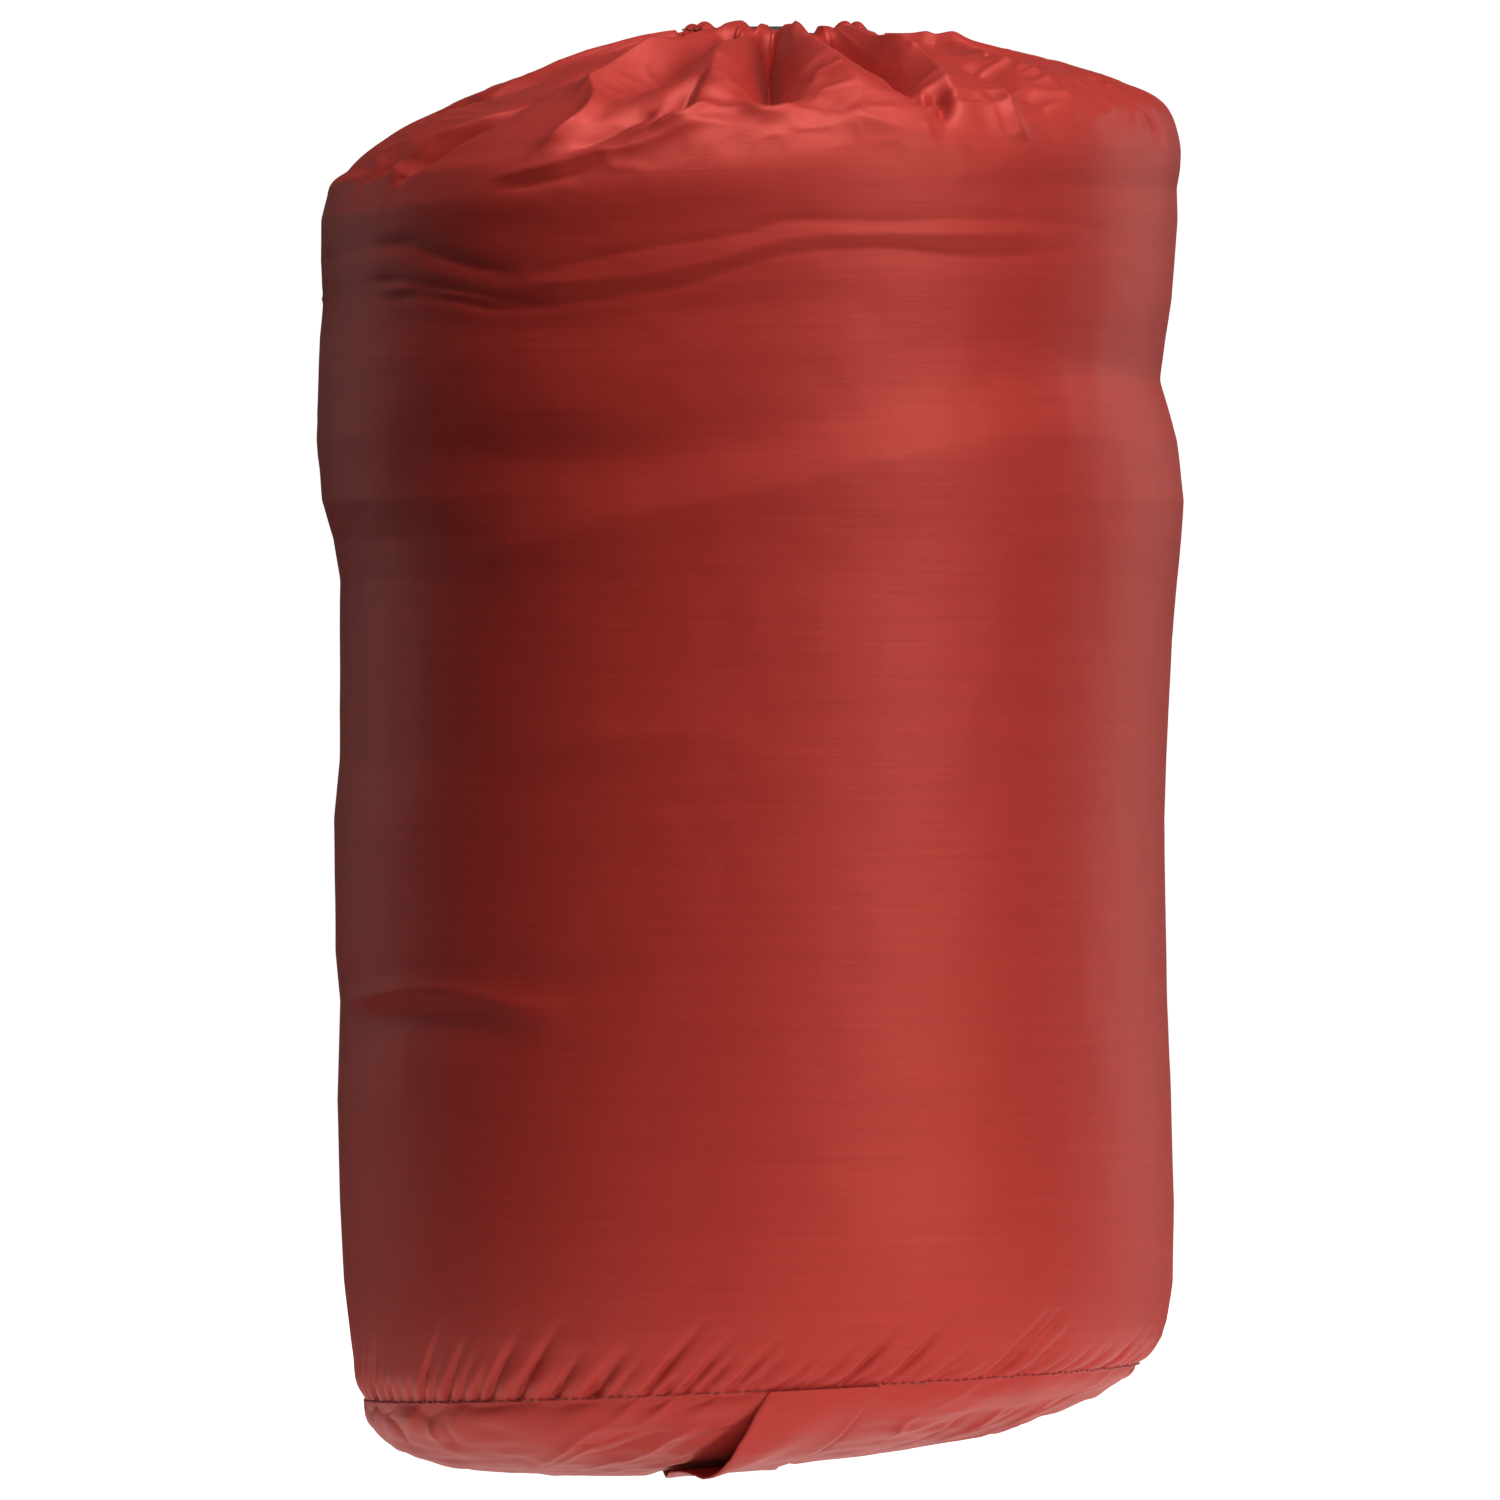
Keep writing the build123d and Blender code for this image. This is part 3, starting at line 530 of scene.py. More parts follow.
# Each fold is a line on the front of the sack: (x, z, height, width) in millimetres, where x and
# z are where it shows from the front, and a negative height is a valley.
FOLDS = [
    # creases under the shoulder
    [(-67, 375, -0.2, 2.4), (-48, 379, -0.5, 2.4), (-31, 382, -0.5, 2.4), (-6, 386, -0.5, 2.4),
     (11, 390, -0.5, 2.4), (38, 389.5, -0.5, 2.6), (70, 390.5, -0.5, 2.7), (101, 389, -0.3, 3.2),
     (115, 388, -0.1, 3.2)],
    [(-134, 381, -1, 2.4), (-111, 384, -1.2, 3.2), (-99, 381, -1.2, 3.2), (-86, 376.5, -1, 3.2),
     (-73, 374, -0.1, 3.2)],
    [(-80, 370, 0.2, 2.4), (-62, 371, 0.5, 2.4), (-25, 375, 0.5, 2.4), (11, 384, 0.5, 2.4),
     (38, 386, 0.5, 2.4), (70, 387, 0.5, 2.4), (101, 388, 0.2, 2.4)],
    [(-135, 372, -0.9, 1.9), (-114, 373.5, -1.1, 1.9), (-96, 370, -1.1, 1.9),
     (-70, 365, -0.5, 2.1), (-56, 365.5, -0.5, 2.1), (-25, 369.5, -0.5, 2.1),
     (-7.5, 375, -0.5, 2.1), (11, 379.5, -0.5, 2.1), (38, 382, -0.5, 2.2),
     (65, 379.5, -0.5, 2.4), (92, 382, -0.3, 2.4), (112, 385, -0.1, 2.4)],
    [(-135, 366, -1, 1.9), (-110, 368, -1, 1.9), (-94, 366.5, -0.9, 1.9),
     (-80, 363.5, -0.7, 2.1), (-61, 364, -0.1, 2.4)],
    [(-135, 369, 0.7, 1.6), (-110, 370.7, 0.7, 1.6), (-94, 368.6, 0.7, 1.6), (-73, 365, 0.1, 1.6)],
    [(-8, 371.5, -0.1, 2), (14, 376.5, -0.2, 2.1), (40, 378.5, -0.2, 2.2),
     (65, 377, -0.2, 2.4), (90, 378.5, -0.1, 2.4)],
    # soft rolls lower down
    [(-136, 358, -0.8, 9), (-105, 360, -1.4, 11), (-61, 358, -1.3, 12), (-17, 363, -1.2, 12),
     (30, 366, -0.5, 12)],
    [(-90, 288, 0.3, 14), (-67, 292, 1.6, 13), (-42, 300, 2.1, 13), (-17, 304, 2.1, 14),
     (14.5, 311, 2.1, 15), (46, 319, 2.2, 16), (77, 325, 2, 18), (102, 330, 1.1, 20)],
    [(-118, 322, -0.7, 20), (-86, 318, -2.1, 20), (-42, 317, -1.8, 16), (-11, 321, -1.3, 16),
     (33, 332, -1.3, 18), (71, 338, -0.9, 20)],
    [(-86, 330, 0.4, 9), (-60, 333, 0.9, 10), (-30, 331, 0.5, 12)],
    [(129, 344, -1.2, 12), (109, 347, -1.6, 13), (84, 350, -0.6, 14)],
    [(-127, 148.6, 0.8, 3), (-116, 153, 1.7, 2.6), (-102, 154.5, 1.6, 2.8),
     (-86, 152.5, 1.4, 3.2), (-70, 148.5, 1.1, 4), (-55, 147.5, 0.2, 5)],
    [(-122, 143, -1, 7), (-105, 146, -2.2, 7), (-86, 144, -1.8, 8), (-66, 139, -0.2, 10)],
    [(-90, 162, -0.3, 8), (-61, 157, -1, 9), (-36, 160, -0.2, 9)],
    [(-74, 225, 0.2, 8), (-51, 231, 1, 9), (-23, 232.5, 0.8, 9), (2, 231, 0.2, 9)],
    # gathered dome: the pleat in the middle and its two lobes
    [(3.8, 452.0, -22, 3.2), (4.0, 446, -23, 3.8), (4.4, 439, -20, 4.8), (5.2, 432.5, -13, 6.5),
     (5.4, 427.5, -6, 9), (5.0, 424, 0, 11)],
    [(-3.8, 452.5, 1.8, 7), (-6.6, 447, 4.0, 7.5), (-9.4, 441, 6.0, 9), (-12, 435, 6.0, 10),
     (-14.6, 430, 4.5, 12), (-17, 426, 2, 12)],
    [(12.8, 452.5, 1.8, 6.5), (15.2, 447, 4.0, 7), (19.2, 442, 6.0, 8), (24.5, 437, 6.0, 9),
     (30.2, 432, 4.5, 12), (37, 428, 2, 12)],
    [(-6, 428, 1.0, 4), (-1.3, 424.2, 2.6, 4), (4.4, 422.4, 3.2, 4.5), (10, 423.8, 2.8, 4),
     (15.4, 427.6, 1.4, 4)],
    # left of the pleat
    [(-8.2, 450.5, -12.2, 3.6), (-13, 446.5, -16.2, 4.4), (-19, 442.6, -14.9, 4.8), (-27, 438, -10.8, 5.6),
     (-33, 434.5, -6.8, 6.4), (-39, 430.5, -2, 7.2)],
    [(-17, 449.5, 1.6, 4), (-23, 445.6, 3.5, 4.8), (-31, 442.4, 6.8, 5.2), (-39.6, 438, 5.4, 5.6),
     (-46.5, 433.6, 4.1, 6.4), (-53, 429.4, 2, 6.4)],
    [(-20, 450, -5.4, 3.2), (-29.5, 447, -6.8, 4), (-39.6, 443.2, -6.8, 4), (-49.6, 439.4, -5.4, 4.8),
     (-61, 434.4, -2, 5.6)],
    [(-30.8, 420, -2, 3.2), (-24.5, 425, -6.1, 3.6), (-20, 429.4, -5.4, 3.6), (-16.3, 432.5, -2.7, 4)],
    [(-36, 416.2, 1.1, 2.8), (-28, 418.7, 3.5, 3.2), (-20, 421, 3.5, 3.2), (-13.8, 425, 2, 3.2)],
    [(-80, 403.6, 0.3, 2.4), (-74, 404.9, 1.2, 2.4), (-61, 407.4, 1.5, 2.6), (-48.4, 411.2, 1.7, 2.6),
     (-35.8, 413.7, 1.7, 2.6), (-20, 418.4, 1.4, 3), (-10.7, 421, 0.5, 3.4)],
    [(-78, 400.5, -0.2, 1.9), (-70, 401.2, -0.8, 2.0), (-56, 404.3, -0.8, 2.2), (-48.4, 406.8, -0.2, 2.4)],
    [(-67, 411.5, 0.7, 3.2), (-59.4, 416.2, 3.5, 3.2), (-51.5, 422.4, 3.8, 3.2), (-48.4, 428, 3.2, 3.6),
     (-49.6, 433.5, 1.6, 4)],
    [(-56, 411.5, -1.1, 3.2), (-48.4, 416.2, -3.5, 4), (-35.8, 423, -3.5, 4.4), (-31, 425.6, -1.4, 4.8)],
    [(-110, 405.5, -2, 2.7), (-99, 412.7, -4.9, 2.9), (-89, 418.4, -5.1, 3),
     (-79.8, 423, -4.3, 3.2), (-68.8, 427.8, -1.4, 4)],
    [(-111, 408.4, 1.4, 2.8), (-98.6, 416.2, 3, 2.8), (-86, 421.5, 3, 2.8),
     (-73.5, 426.2, 1.4, 3.2)],
    [(-127, 400.5, -0.7, 3.2), (-119, 406.8, -2.4, 3.6), (-111, 411.5, -2.2, 4), (-98.6, 416.8, -0.5, 4)],
    [(-99.2, 425.9, -1.6, 2.7), (-90.8, 428.8, -3.8, 2.8), (-83.2, 431, -3.8, 3.2),
     (-73.5, 434.4, -3, 3.6), (-61.6, 438.8, -1.1, 4)],
    # right of the pleat
    [(21.4, 451.5, -10.4, 3.7), (26.4, 447.6, -16.2, 4.3), (32.7, 443.2, -16.2, 4.6),
     (39.6, 438.8, -12.3, 4.9), (45.9, 434.4, -7.8, 5.3), (49.6, 430.6, -2, 5.7)],
    [(28.6, 452, 1.6, 4.1), (36.4, 447.6, 3.4, 4.9), (44.3, 443.2, 7.2, 5.3), (52, 438.8, 5.5, 5.7),
     (58.4, 433.5, 3.9, 5.7), (61, 428, 1.6, 6.6)],
    [(47.4, 430.6, -2.6, 2.5), (52.8, 428, -7.2, 2.5), (57.2, 429.4, -6.5, 2.5), (58.4, 424.3, -4.5, 2.8),
     (56, 423, -1, 3.3)],
    [(42.7, 449.5, -5.9, 3.7), (52, 445.7, -7.8, 4.1), (61.6, 442, -7.8, 4.1), (72.6, 438, -6.5, 4.5),
     (82, 432.5, -4.7, 4.9), (89.8, 426.2, -1.3, 5.7)],
    [(45.9, 451, 0.8, 4.1), (58.4, 447, 2.1, 4.1), (72.6, 442.6, 4.4, 4.5), (86.7, 437, 3.1, 4.9),
     (96, 430.6, 1, 5.7)],
    [(61.2, 445.4, -1.6, 2.5), (72.6, 442.5, -4.2, 2.5), (82.6, 439.4, -4.2, 2.8), (93, 435, -1, 3.3)],
    [(96, 440, -1.6, 3.3), (105.5, 436.9, -3.6, 3.3), (115, 431.3, -4.2, 3.3), (122.8, 424, -2.9, 3.7),
     (126.9, 417.8, -0.8, 4.1)],
    [(108.7, 434.4, 1, 3.3), (116.5, 429.4, 2.9, 3.3), (121.2, 422.5, 1.6, 3.7)],
    [(74, 433.5, 0.5, 3.3), (77.3, 427.2, 2.9, 3.3), (80.4, 421, 2.3, 3.7), (83.6, 416.2, 0.5, 4.1)],
    [(24.5, 426, 0.5, 4.1), (33, 421, 1.8, 4.9), (46, 417.5, 1.6, 5.7), (58, 416, 0.4, 6.6)],
]

# The same on the back, where the creases are longer and lazier.
BACK_FOLDS = [
    [(-133, 372, -1.0, 3), (-110, 372, -1.2, 3), (-70, 376, -1.0, 3.5), (-30, 374, -0.2, 4)],
    [(-133, 366, -0.8, 2.4), (-100, 365, -1.0, 2.6), (-60, 369, -0.8, 3), (-20, 371, -0.1, 3)],
    [(120, 384, -0.3, 3), (90, 380, -1.2, 3), (50, 383, -1.3, 3.5), (10, 380, -0.3, 4)],
    [(-120, 300, 0.4, 12), (-70, 306, 2.4, 13), (-10, 296, 2.6, 14), (50, 284, 2.0, 15),
     (95, 280, 0.4, 16)],
    [(-100, 318, -0.4, 12), (-50, 322, -2.0, 14), (10, 314, -2.0, 15), (60, 300, -0.6, 16)],
    [(118, 172, 0.3, 4), (90, 166, 1.6, 4), (55, 169, 1.4, 5), (20, 176, 0.3, 6)],
    [(112, 160, -0.3, 8), (80, 158, -1.6, 9), (45, 160, -1.2, 10), (15, 166, -0.2, 10)],
    [(-90, 120, 0.3, 10), (-40, 128, 1.6, 11), (10, 124, 1.2, 12), (40, 118, 0.2, 12)],
]


def on_face(base, x, z, face):
    """The grid point that shows nearest to x, z, on the front (face -1) or on the back (face 1)."""
    gap = (base[..., 0] - x) ** 2 + (base[..., 2] - z) ** 2
    gap = np.where(face * base[..., 1] > 0, gap, np.inf)
    return base[np.unravel_index(np.argmin(gap), gap.shape)]


def resample(values, count):
    """Smooth curve through rows of values."""
    values = np.array(values, float)
    knots = np.arange(len(values), dtype=float)
    slopes = np.gradient(values, axis=0)
    t = np.linspace(0, len(values) - 1, count)
    i = np.clip(t.astype(int), 0, len(values) - 2)
    u = (t - i)[:, None]
    return hermite(values[i], values[i + 1], slopes[i], slopes[i + 1], u)


# Narrow folds have a crisp crest and wide ones a soft one: mean widths, and the crisp share there.
CRISP_WIDTHS = (6.0, 10.0)
CRISP_SHARES = (0.75, 0.35)
FOLD_REACH = 3.0


def fold_height(base, lines, face=-1):
    """Summed height of folds over a grid, on its front (face -1) or on its back (face 1)."""
    total = np.zeros(base.shape[:2])
    flat = base.reshape(-1, 3)
    for line in lines:
        spots = [on_face(base, x, z, face) for x, z, _, _ in line]
        path = resample([[*s, h, w] for s, (_, _, h, w) in zip(spots, line)], 6 * len(line))
        reach = FOLD_REACH * path[:, 4].max()
        near = np.all((flat > path[:, :3].min(0) - reach) & (flat < path[:, :3].max(0) + reach), axis=1)
        pts = flat[near]
        starts, steps = path[:-1, :3], np.diff(path[:, :3], axis=0)
        size = np.maximum((steps**2).sum(1), 1e-6)
        ahead = pts @ steps.T - (starts * steps).sum(1)
        share = np.clip(ahead / size, 0, 1)
        gap2 = ((pts**2).sum(1)[:, None] - 2 * pts @ starts.T + (starts**2).sum(1)
                - 2 * share * ahead + share**2 * size)
        i = gap2.argmin(1)
        each = np.arange(len(pts))
        t = share[each, i]
        tall = path[i, 3] * (1 - t) + path[i + 1, 3] * t
        wide = path[i, 4] * (1 - t) + path[i + 1, 4] * t
        d = np.sqrt(np.maximum(gap2[each, i], 0)) / np.maximum(wide, 0.5)
        soft = np.exp(-(d**1.8))
        crisp = np.exp(-1.15 * d**1.15)
        crispness = np.interp(path[:, 4].mean(), CRISP_WIDTHS, CRISP_SHARES)
        total.reshape(-1)[near] += tall * (soft * (1 - crispness) + crisp * crispness)
    return total


folds = fold_height(wall, FOLDS) + fold_height(wall, BACK_FOLDS, face=1)
along = height_along[:, None]
from_mouth = PROFILE_LENGTH - along


def wall_noise(cells):
    """A random field over the wall."""
    return value_noise((WALL_ROWS, ANGLES), cells)


def ridges(cells, sharp=1.0):
    """A field of sharp ridges between round hollows."""
    return 1.0 - 2.0 * np.minimum(np.abs(wall_noise(cells)) ** sharp, 1.2)


def hill(distance, middle, reach, power=2):
    """1 at the middle, and less the further off, down to about a third at its reach."""
    return np.exp(-(((distance - middle) / reach) ** power))


# Gathers round the mouth: close together at the cord, running out over the shoulder. On the front
# they give way to the folds listed above.
FRONT_HALF_ANGLE = 1.25
FRONT_LESS_FINE = 0.45
FRONT_LESS_WIDE = 0.88
front = hill(theta, -math.pi / 2, FRONT_HALF_ANGLE, 4)[None, :]
fine_gather = 1.8 * ridges((7, 64)) * hill(from_mouth, 0, 16)
wide_gather = 3.4 * ridges((4, 34)) * hill(from_mouth, 0, 46)
wide_gather += 3.2 * ridges((3, 19)) * hill(from_mouth, 30, 62)
gather = fine_gather * (1 - FRONT_LESS_FINE * front) + wide_gather * (1 - FRONT_LESS_WIDE * front)

# Fine lines in the gathered cloth, and the small facets it breaks into over the shoulder.
gather += 0.42 * ridges((10, 150), 0.8) * hill(from_mouth, 14, 34)
facets = ridges((62, 74), 0.9) * smoothstep(wall_noise((9, 15)), -0.3, 0.9)
gather += 0.38 * facets * hill(from_mouth, 82, 34, 4)

# Puckers over the base seam: short creases, close together and leaning to the right.
FOOT_RADIUS = 127.0
SEAM_ROUND = 2 * math.pi * FOOT_RADIUS
PUCKERS = 112
PUCKER_SCATTER = 0.36
PUCKER_LEAN = 0.75
PUCKER_DEPTH = (0.9, 3.1)
PUCKER_WIDTH = (1.2, 2.0)
PUCKER_ZONE = 26.0
around = theta[None, :] * FOOT_RADIUS
near_seam = height_along < PUCKER_ZONE
low_along = along[near_seam]
puckers = np.zeros((WALL_ROWS, ANGLES))
for k in range(PUCKERS):
    place = (k + rng.uniform(-PUCKER_SCATTER, PUCKER_SCATTER)) * SEAM_ROUND / PUCKERS
    depth = rng.uniform(*PUCKER_DEPTH)
    reach = 6.0 + 4.8 * rng.uniform() * depth
    wide = rng.uniform(*PUCKER_WIDTH)
    gap = (around - place - PUCKER_LEAN * low_along) % SEAM_ROUND - SEAM_ROUND / 2
    side_wide = np.where(gap > 0, wide * 1.5, wide * 0.8)
    crease = np.exp(-((np.abs(gap) / side_wide) ** 1.3)) * np.exp(-((low_along / reach) ** 2.4))
    puckers[near_seam] -= depth * crease * smoothstep(low_along, -1.5, 3.0)
puckers += hill(along, 6, 5)
SEAM_DIP = -0.9
seam_dip = SEAM_DIP * hill(along, 0, 2)

# The faint crinkle of cloth that has been stuffed many times.
CRINKLE = 0.07
crinkle = CRINKLE * wall_noise((46, 84))
crinkle += CRINKLE * ridges((26, 36)) * wall_noise((5, 9))

relief = folds + gather + puckers + seam_dip + crinkle * smoothstep(along, 2, 14)
wall = wall + normal * relief[..., None]

# The edge of the cloth turns in under the gathered hem; between the cords' two exits it
# stands up and rolls over instead. Rows of the lip: radius and height under the hem, then at
# the front.
LIP = [
    (33.4, -1.6, 32.4, 0.6),
    (32.8, -3.6, 30.2, -0.2),
    (32.4, -6.0, 28.6, -3.0),
    (32.0, -9.0, 28.0, -8.0),
]
gap_front = smoothstep(np.cos(theta + math.pi / 2), math.cos(0.62), math.cos(0.42))
lip_rows = []
for r_hem, h_hem, r_front, h_front in LIP:
    r = r_hem * (1 - gap_front) + r_front * gap_front
    h = h_hem * (1 - gap_front) + h_front * gap_front
    lip_rows.append([mouth_point(*spot) for spot in zip(theta, r, h)])
side_panel = mesh_from_grid("sack_side_panel_cloth", np.concatenate([wall, np.array(lip_rows)]))
sack_piece(side_panel, "sack_cloth", "sack_side_panel", "sack_gathered_crown")

# ================================
# Gathered hem channel: a ruffled tube round the mouth, open at the front
# ================================
HEM_STEPS = 420
HEM_ROUND = 40
HEM_RADIUS = 3.6
HEM_OFFSET = (0.4, 1.0)
HEM_GAP = 0.82 * CHANNEL_GAP
RUFFLES = 46
RUFFLE_HEIGHT = 1.15
# Ruffles of three sizes: how close together and how high, beside the first.
RUFFLE_SIZES = ((1.0, 1.0), (0.53, 0.8), (1.9, 0.45))
hem_angle = np.linspace(HEM_GAP - math.pi / 2, 1.5 * math.pi - HEM_GAP, HEM_STEPS)
psi = np.linspace(0, 2 * math.pi, HEM_ROUND, endpoint=False)
ruffle_table = rng.normal(size=(4, 64))
hem = np.zeros((HEM_STEPS, HEM_ROUND, 3))
for i, a in enumerate(hem_angle):
    ruffle = np.zeros(HEM_ROUND)
    for k, (closeness, height) in enumerate(RUFFLE_SIZES):
        place = a / (2 * math.pi) * RUFFLES * closeness + 0.35 * np.sin(psi + k)
        ruffle += height * loop_noise(ruffle_table[k], place)
    end = min(i, HEM_STEPS - 1 - i) / (HEM_STEPS * 0.045)
    narrowing = 1.0 - 0.35 * math.exp(-end * end)
    fat = (HEM_RADIUS + RUFFLE_HEIGHT * ruffle) * narrowing
    tall = 1.12 + 0.18 * math.sin(9 * a) + 0.12 * math.sin(23 * a + 1)
    for j in range(HEM_ROUND):
        radius = CHANNEL_RADIUS + HEM_OFFSET[0] + fat[j] * math.cos(psi[j])
        hem[i, j] = mouth_point(a, radius, HEM_OFFSET[1] + fat[j] * tall * math.sin(psi[j]))
channel = mesh_from_grid("drawcord_channel_hem", hem, flip=True)
sack_piece(channel, "sack_cloth", "drawcord_channel")

# ================================
# End panel: from the seam round to the patch it stands on, nipped in at the seam
# ================================
BASE = [
    (122.5, -1.0, 29.2, 0.0465, -0.024),
    (121.6, -1.2, 27.4, 0.051, -0.022),
    (119.6, -1.6, 24.6, 0.060, -0.018),
    (112.4, -3.2, 18.6, 0.072, -0.010),
    (97.0, -6.6, 11.9, 0.071, -0.004),
    (76.0, -13.0, 7.4, 0.061, 0.0),
    (55.0, -21.0, 4.3, 0.050, 0.0),
    (36.0, -30.0, 2.0, 0.034, 0.0),
    (18.0, -40.0, 0.6, 0.015, 0.0),
    (4.0, -45.0, 0.15, 0.004, 0.0),
    (0.2, -45.0, 0.1, 0.0, 0.0),
]
BASE_ROWS = 220
BASE_DENSITY = ((0, 3), (0.3, 2.2), (0.5, 1), (1, 0.7))
base_rows, base_along = smooth_rows(BASE, BASE_ROWS, BASE_DENSITY)
base = surface(base_rows, theta)
base_normal = -grid_normals(base)

STRAP_WIDE = 34.0
# Middle of the strap where it crosses the rows of the end panel: radius of the row, x.
STRAP_FRONT = [
    (122.5, 21.5), (121.6, 20.0), (119.6, 17.5), (112.4, 12.5), (97.0, 3.5), (76.0, -5.0),
    (62.0, -9.5),
]
STRAP_BACK = [(122.5, -14.0), (112.4, -14.0), (97.0, -13.6), (62.0, -13.2)]
CROSSINGS = sorted([(-r, x) for r, x in STRAP_FRONT] + [(r, x) for r, x in STRAP_BACK])
strap_x = np.interp(base[..., 1], [c[0] for c in CROSSINGS], [c[1] for c in CROSSINGS])
under_strap = 1 - smoothstep(np.abs(base[..., 0] - strap_x), STRAP_WIDE / 2, STRAP_WIDE / 2 + 7)
from_seam = base_along[:, None]

# Soft waves, short nips at the seam that lean a little, and a faint crinkle, all fading towards
# the patch that it stands on; then the bulge beside the seam, and the seam's own dip.
BASE_RADIUS = 122.0
NIPS = 70
NIP_LEAN = 1.3
base_folds = 0.7 * value_noise((BASE_ROWS, ANGLES), (4, 30)) * hill(from_seam, 14, 20)
nip_place = ((theta[None, :] + NIP_LEAN * from_seam / BASE_RADIUS) / (2 * math.pi) + 0.5) * NIPS
nips = np.abs(loop_noise(rng.normal(size=NIPS), nip_place))
base_folds -= 0.8 * nips * hill(from_seam, 0, 8, 1.5) * smoothstep(from_seam, 0, 3)
base_folds += 0.25 * value_noise((BASE_ROWS, ANGLES), (16, 60))
base_folds *= 1 - smoothstep(from_seam, 70, 110)
base_folds += 0.7 * smoothstep(from_seam, 1.0, 6.0) * hill(from_seam, 0, 14)
base_folds += SEAM_DIP * hill(from_seam, 0, 2)
base_folds = np.where(from_seam < 9, np.maximum(base_folds, SEAM_DIP), base_folds)

# Folds on the front of the end panel, listed like those of the wall.
BASE_FRONT = [
    # a fan of creases pulled in towards the strap, on its left
    [(-45, 22, 0.2, 1.6), (-50, 19.6, 1.1, 1.6), (-59, 13.2, 1.3, 1.7), (-65, 8.7, 1.0, 2),
     (-70, 5, 0.2, 2.4)],
    [(-43.7, 17.8, 0.2, 1.6), (-56.5, 11.4, 1.0, 1.6), (-65.6, 5.5, 0.2, 2)],
    [(-27, 20, -0.3, 2), (-30, 18.7, -1.2, 2.4), (-37.3, 15, -1.7, 2.6), (-44.6, 12.3, -1.5, 2.6),
     (-52, 12, -0.3, 2.4)],
    [(-16, 22.5, 0.2, 1.8), (-19, 21, 1.0, 1.8), (-28.2, 16, 1.4, 2), (-37.3, 11, 1.3, 2.2),
     (-46.4, 8.7, 1.0, 2.4), (-61, 5, 0.2, 3)],
    [(-34, 21.5, -0.2, 1.6), (-39, 18.7, -0.9, 1.6), (-48, 15.5, -0.8, 1.8), (-54, 15.5, -0.2, 1.8)],
    [(1, 24.2, 0.2, 1.8), (-6, 22.5, 1.0, 1.8), (-14.5, 20.5, 1.1, 2), (-23.6, 16.9, 0.3, 2)],
    [(-5, 20.5, -0.3, 2.2), (-14, 17.8, -1.1, 2.4), (-22, 14.5, -0.9, 2.6), (-29, 11.5, -0.2, 2.6)],
    [(-3.6, 12.3, 0.2, 2.4), (-19, 10.5, 1.0, 2.4), (-33.6, 7.3, 0.9, 2.8), (-55, 4.5, 0.2, 3)],
    [(-15.5, 16, 0.3, 1.4), (-20, 13.2, 0.8, 1.4), (-25.5, 10.5, 0.2, 1.6)],
    # short nips at the left end
    [(-115, 20, -0.3, 2), (-112, 18.7, -1.1, 2), (-109.8, 15, -0.9, 2.2), (-107, 11, -0.2, 2.4)],
    [(-101, 20, 0.2, 2), (-99.5, 17, 0.9, 2.2), (-97, 12, 0.2, 3)],
    [(-95, 19.5, -0.2, 2), (-93.5, 16, -0.8, 2.2), (-92, 11, -0.1, 3)],
    # long creases to the right of the strap
    [(78, 24.5, 0.2, 1.6), (72, 21, 1.1, 1.7), (62.9, 17.2, 1.3, 1.8), (52, 12.5, 0.3, 2.2)],
    [(68, 23.8, -0.2, 1.6), (60, 18.8, -1.0, 1.8), (50, 13.6, -1.1, 2.0), (42, 11, -0.2, 2.4)],
    [(93, 27, 0.2, 1.8), (86, 23.5, 1.1, 1.8), (79, 19.6, 1.2, 2), (67, 14.4, 1.0, 2.2),
     (46, 10, 0.2, 2.6)],
    [(84, 25.5, -0.2, 1.6), (78, 21.4, -0.9, 1.7), (68, 16.6, -0.9, 1.8), (56, 12.6, -0.2, 2)],
    [(117, 34, 0.1, 2), (108, 29.5, 0.5, 2.2), (99, 25.4, 0.6, 2.4), (81, 18.2, 0.7, 2.6),
     (63, 12.6, 0.6, 3), (40, 9.4, 0.2, 3)],
    [(106, 30.5, -0.2, 1.6), (97, 26.8, -1.0, 1.8), (86, 21.8, -1.0, 2), (74, 16.6, -0.2, 2.2)],
    [(50, 25, 0.2, 1.6), (45, 21, 1.0, 1.8), (41, 15, 0.3, 2.2)],
]
base_folds += fold_height(base, BASE_FRONT)

# Under the strap the panel lies smoother and a little higher, and none of it sinks into the floor.
STRAP_SMOOTHS = 0.8
STRAP_LIFTS = 1.5
FLOOR_CLEARANCE = 0.08
base = base + base_normal * (base_folds * (1 - STRAP_SMOOTHS * under_strap))[..., None]
base[..., 2] += STRAP_LIFTS * under_strap * smoothstep(from_seam, 4, 16)
base[..., 2] = np.maximum(base[..., 2], FLOOR_CLEARANCE)
base[0] = wall[0]
base_panel = mesh_from_grid("sack_base_cloth", base, flip=True)
sack_piece(base_panel, "sack_cloth", "sack_base_panel")

# ================================
# Strap: a flat band of the sack's own cloth, sewn into the seam at both ends
# ================================
ACROSS_STEPS = 25
STRAP_THICK = 0.6
STRAP_CLEARANCE = 0.55
STRAP_ROWS = 60
FLAT_ROWS = 24
FLAT_RADIUS = 62.0
FLAT_HEIGHT = 0.6
FLAT_SLOPE = 0.075
SLOPE_FROM_X = -29.0
TUCK_LENGTH = 0.12
TRACK_ROWS = 130
offsets = np.linspace(-0.5, 0.5, ACROSS_STEPS)
strap_track = smooth_rows(BASE, TRACK_ROWS)[0]


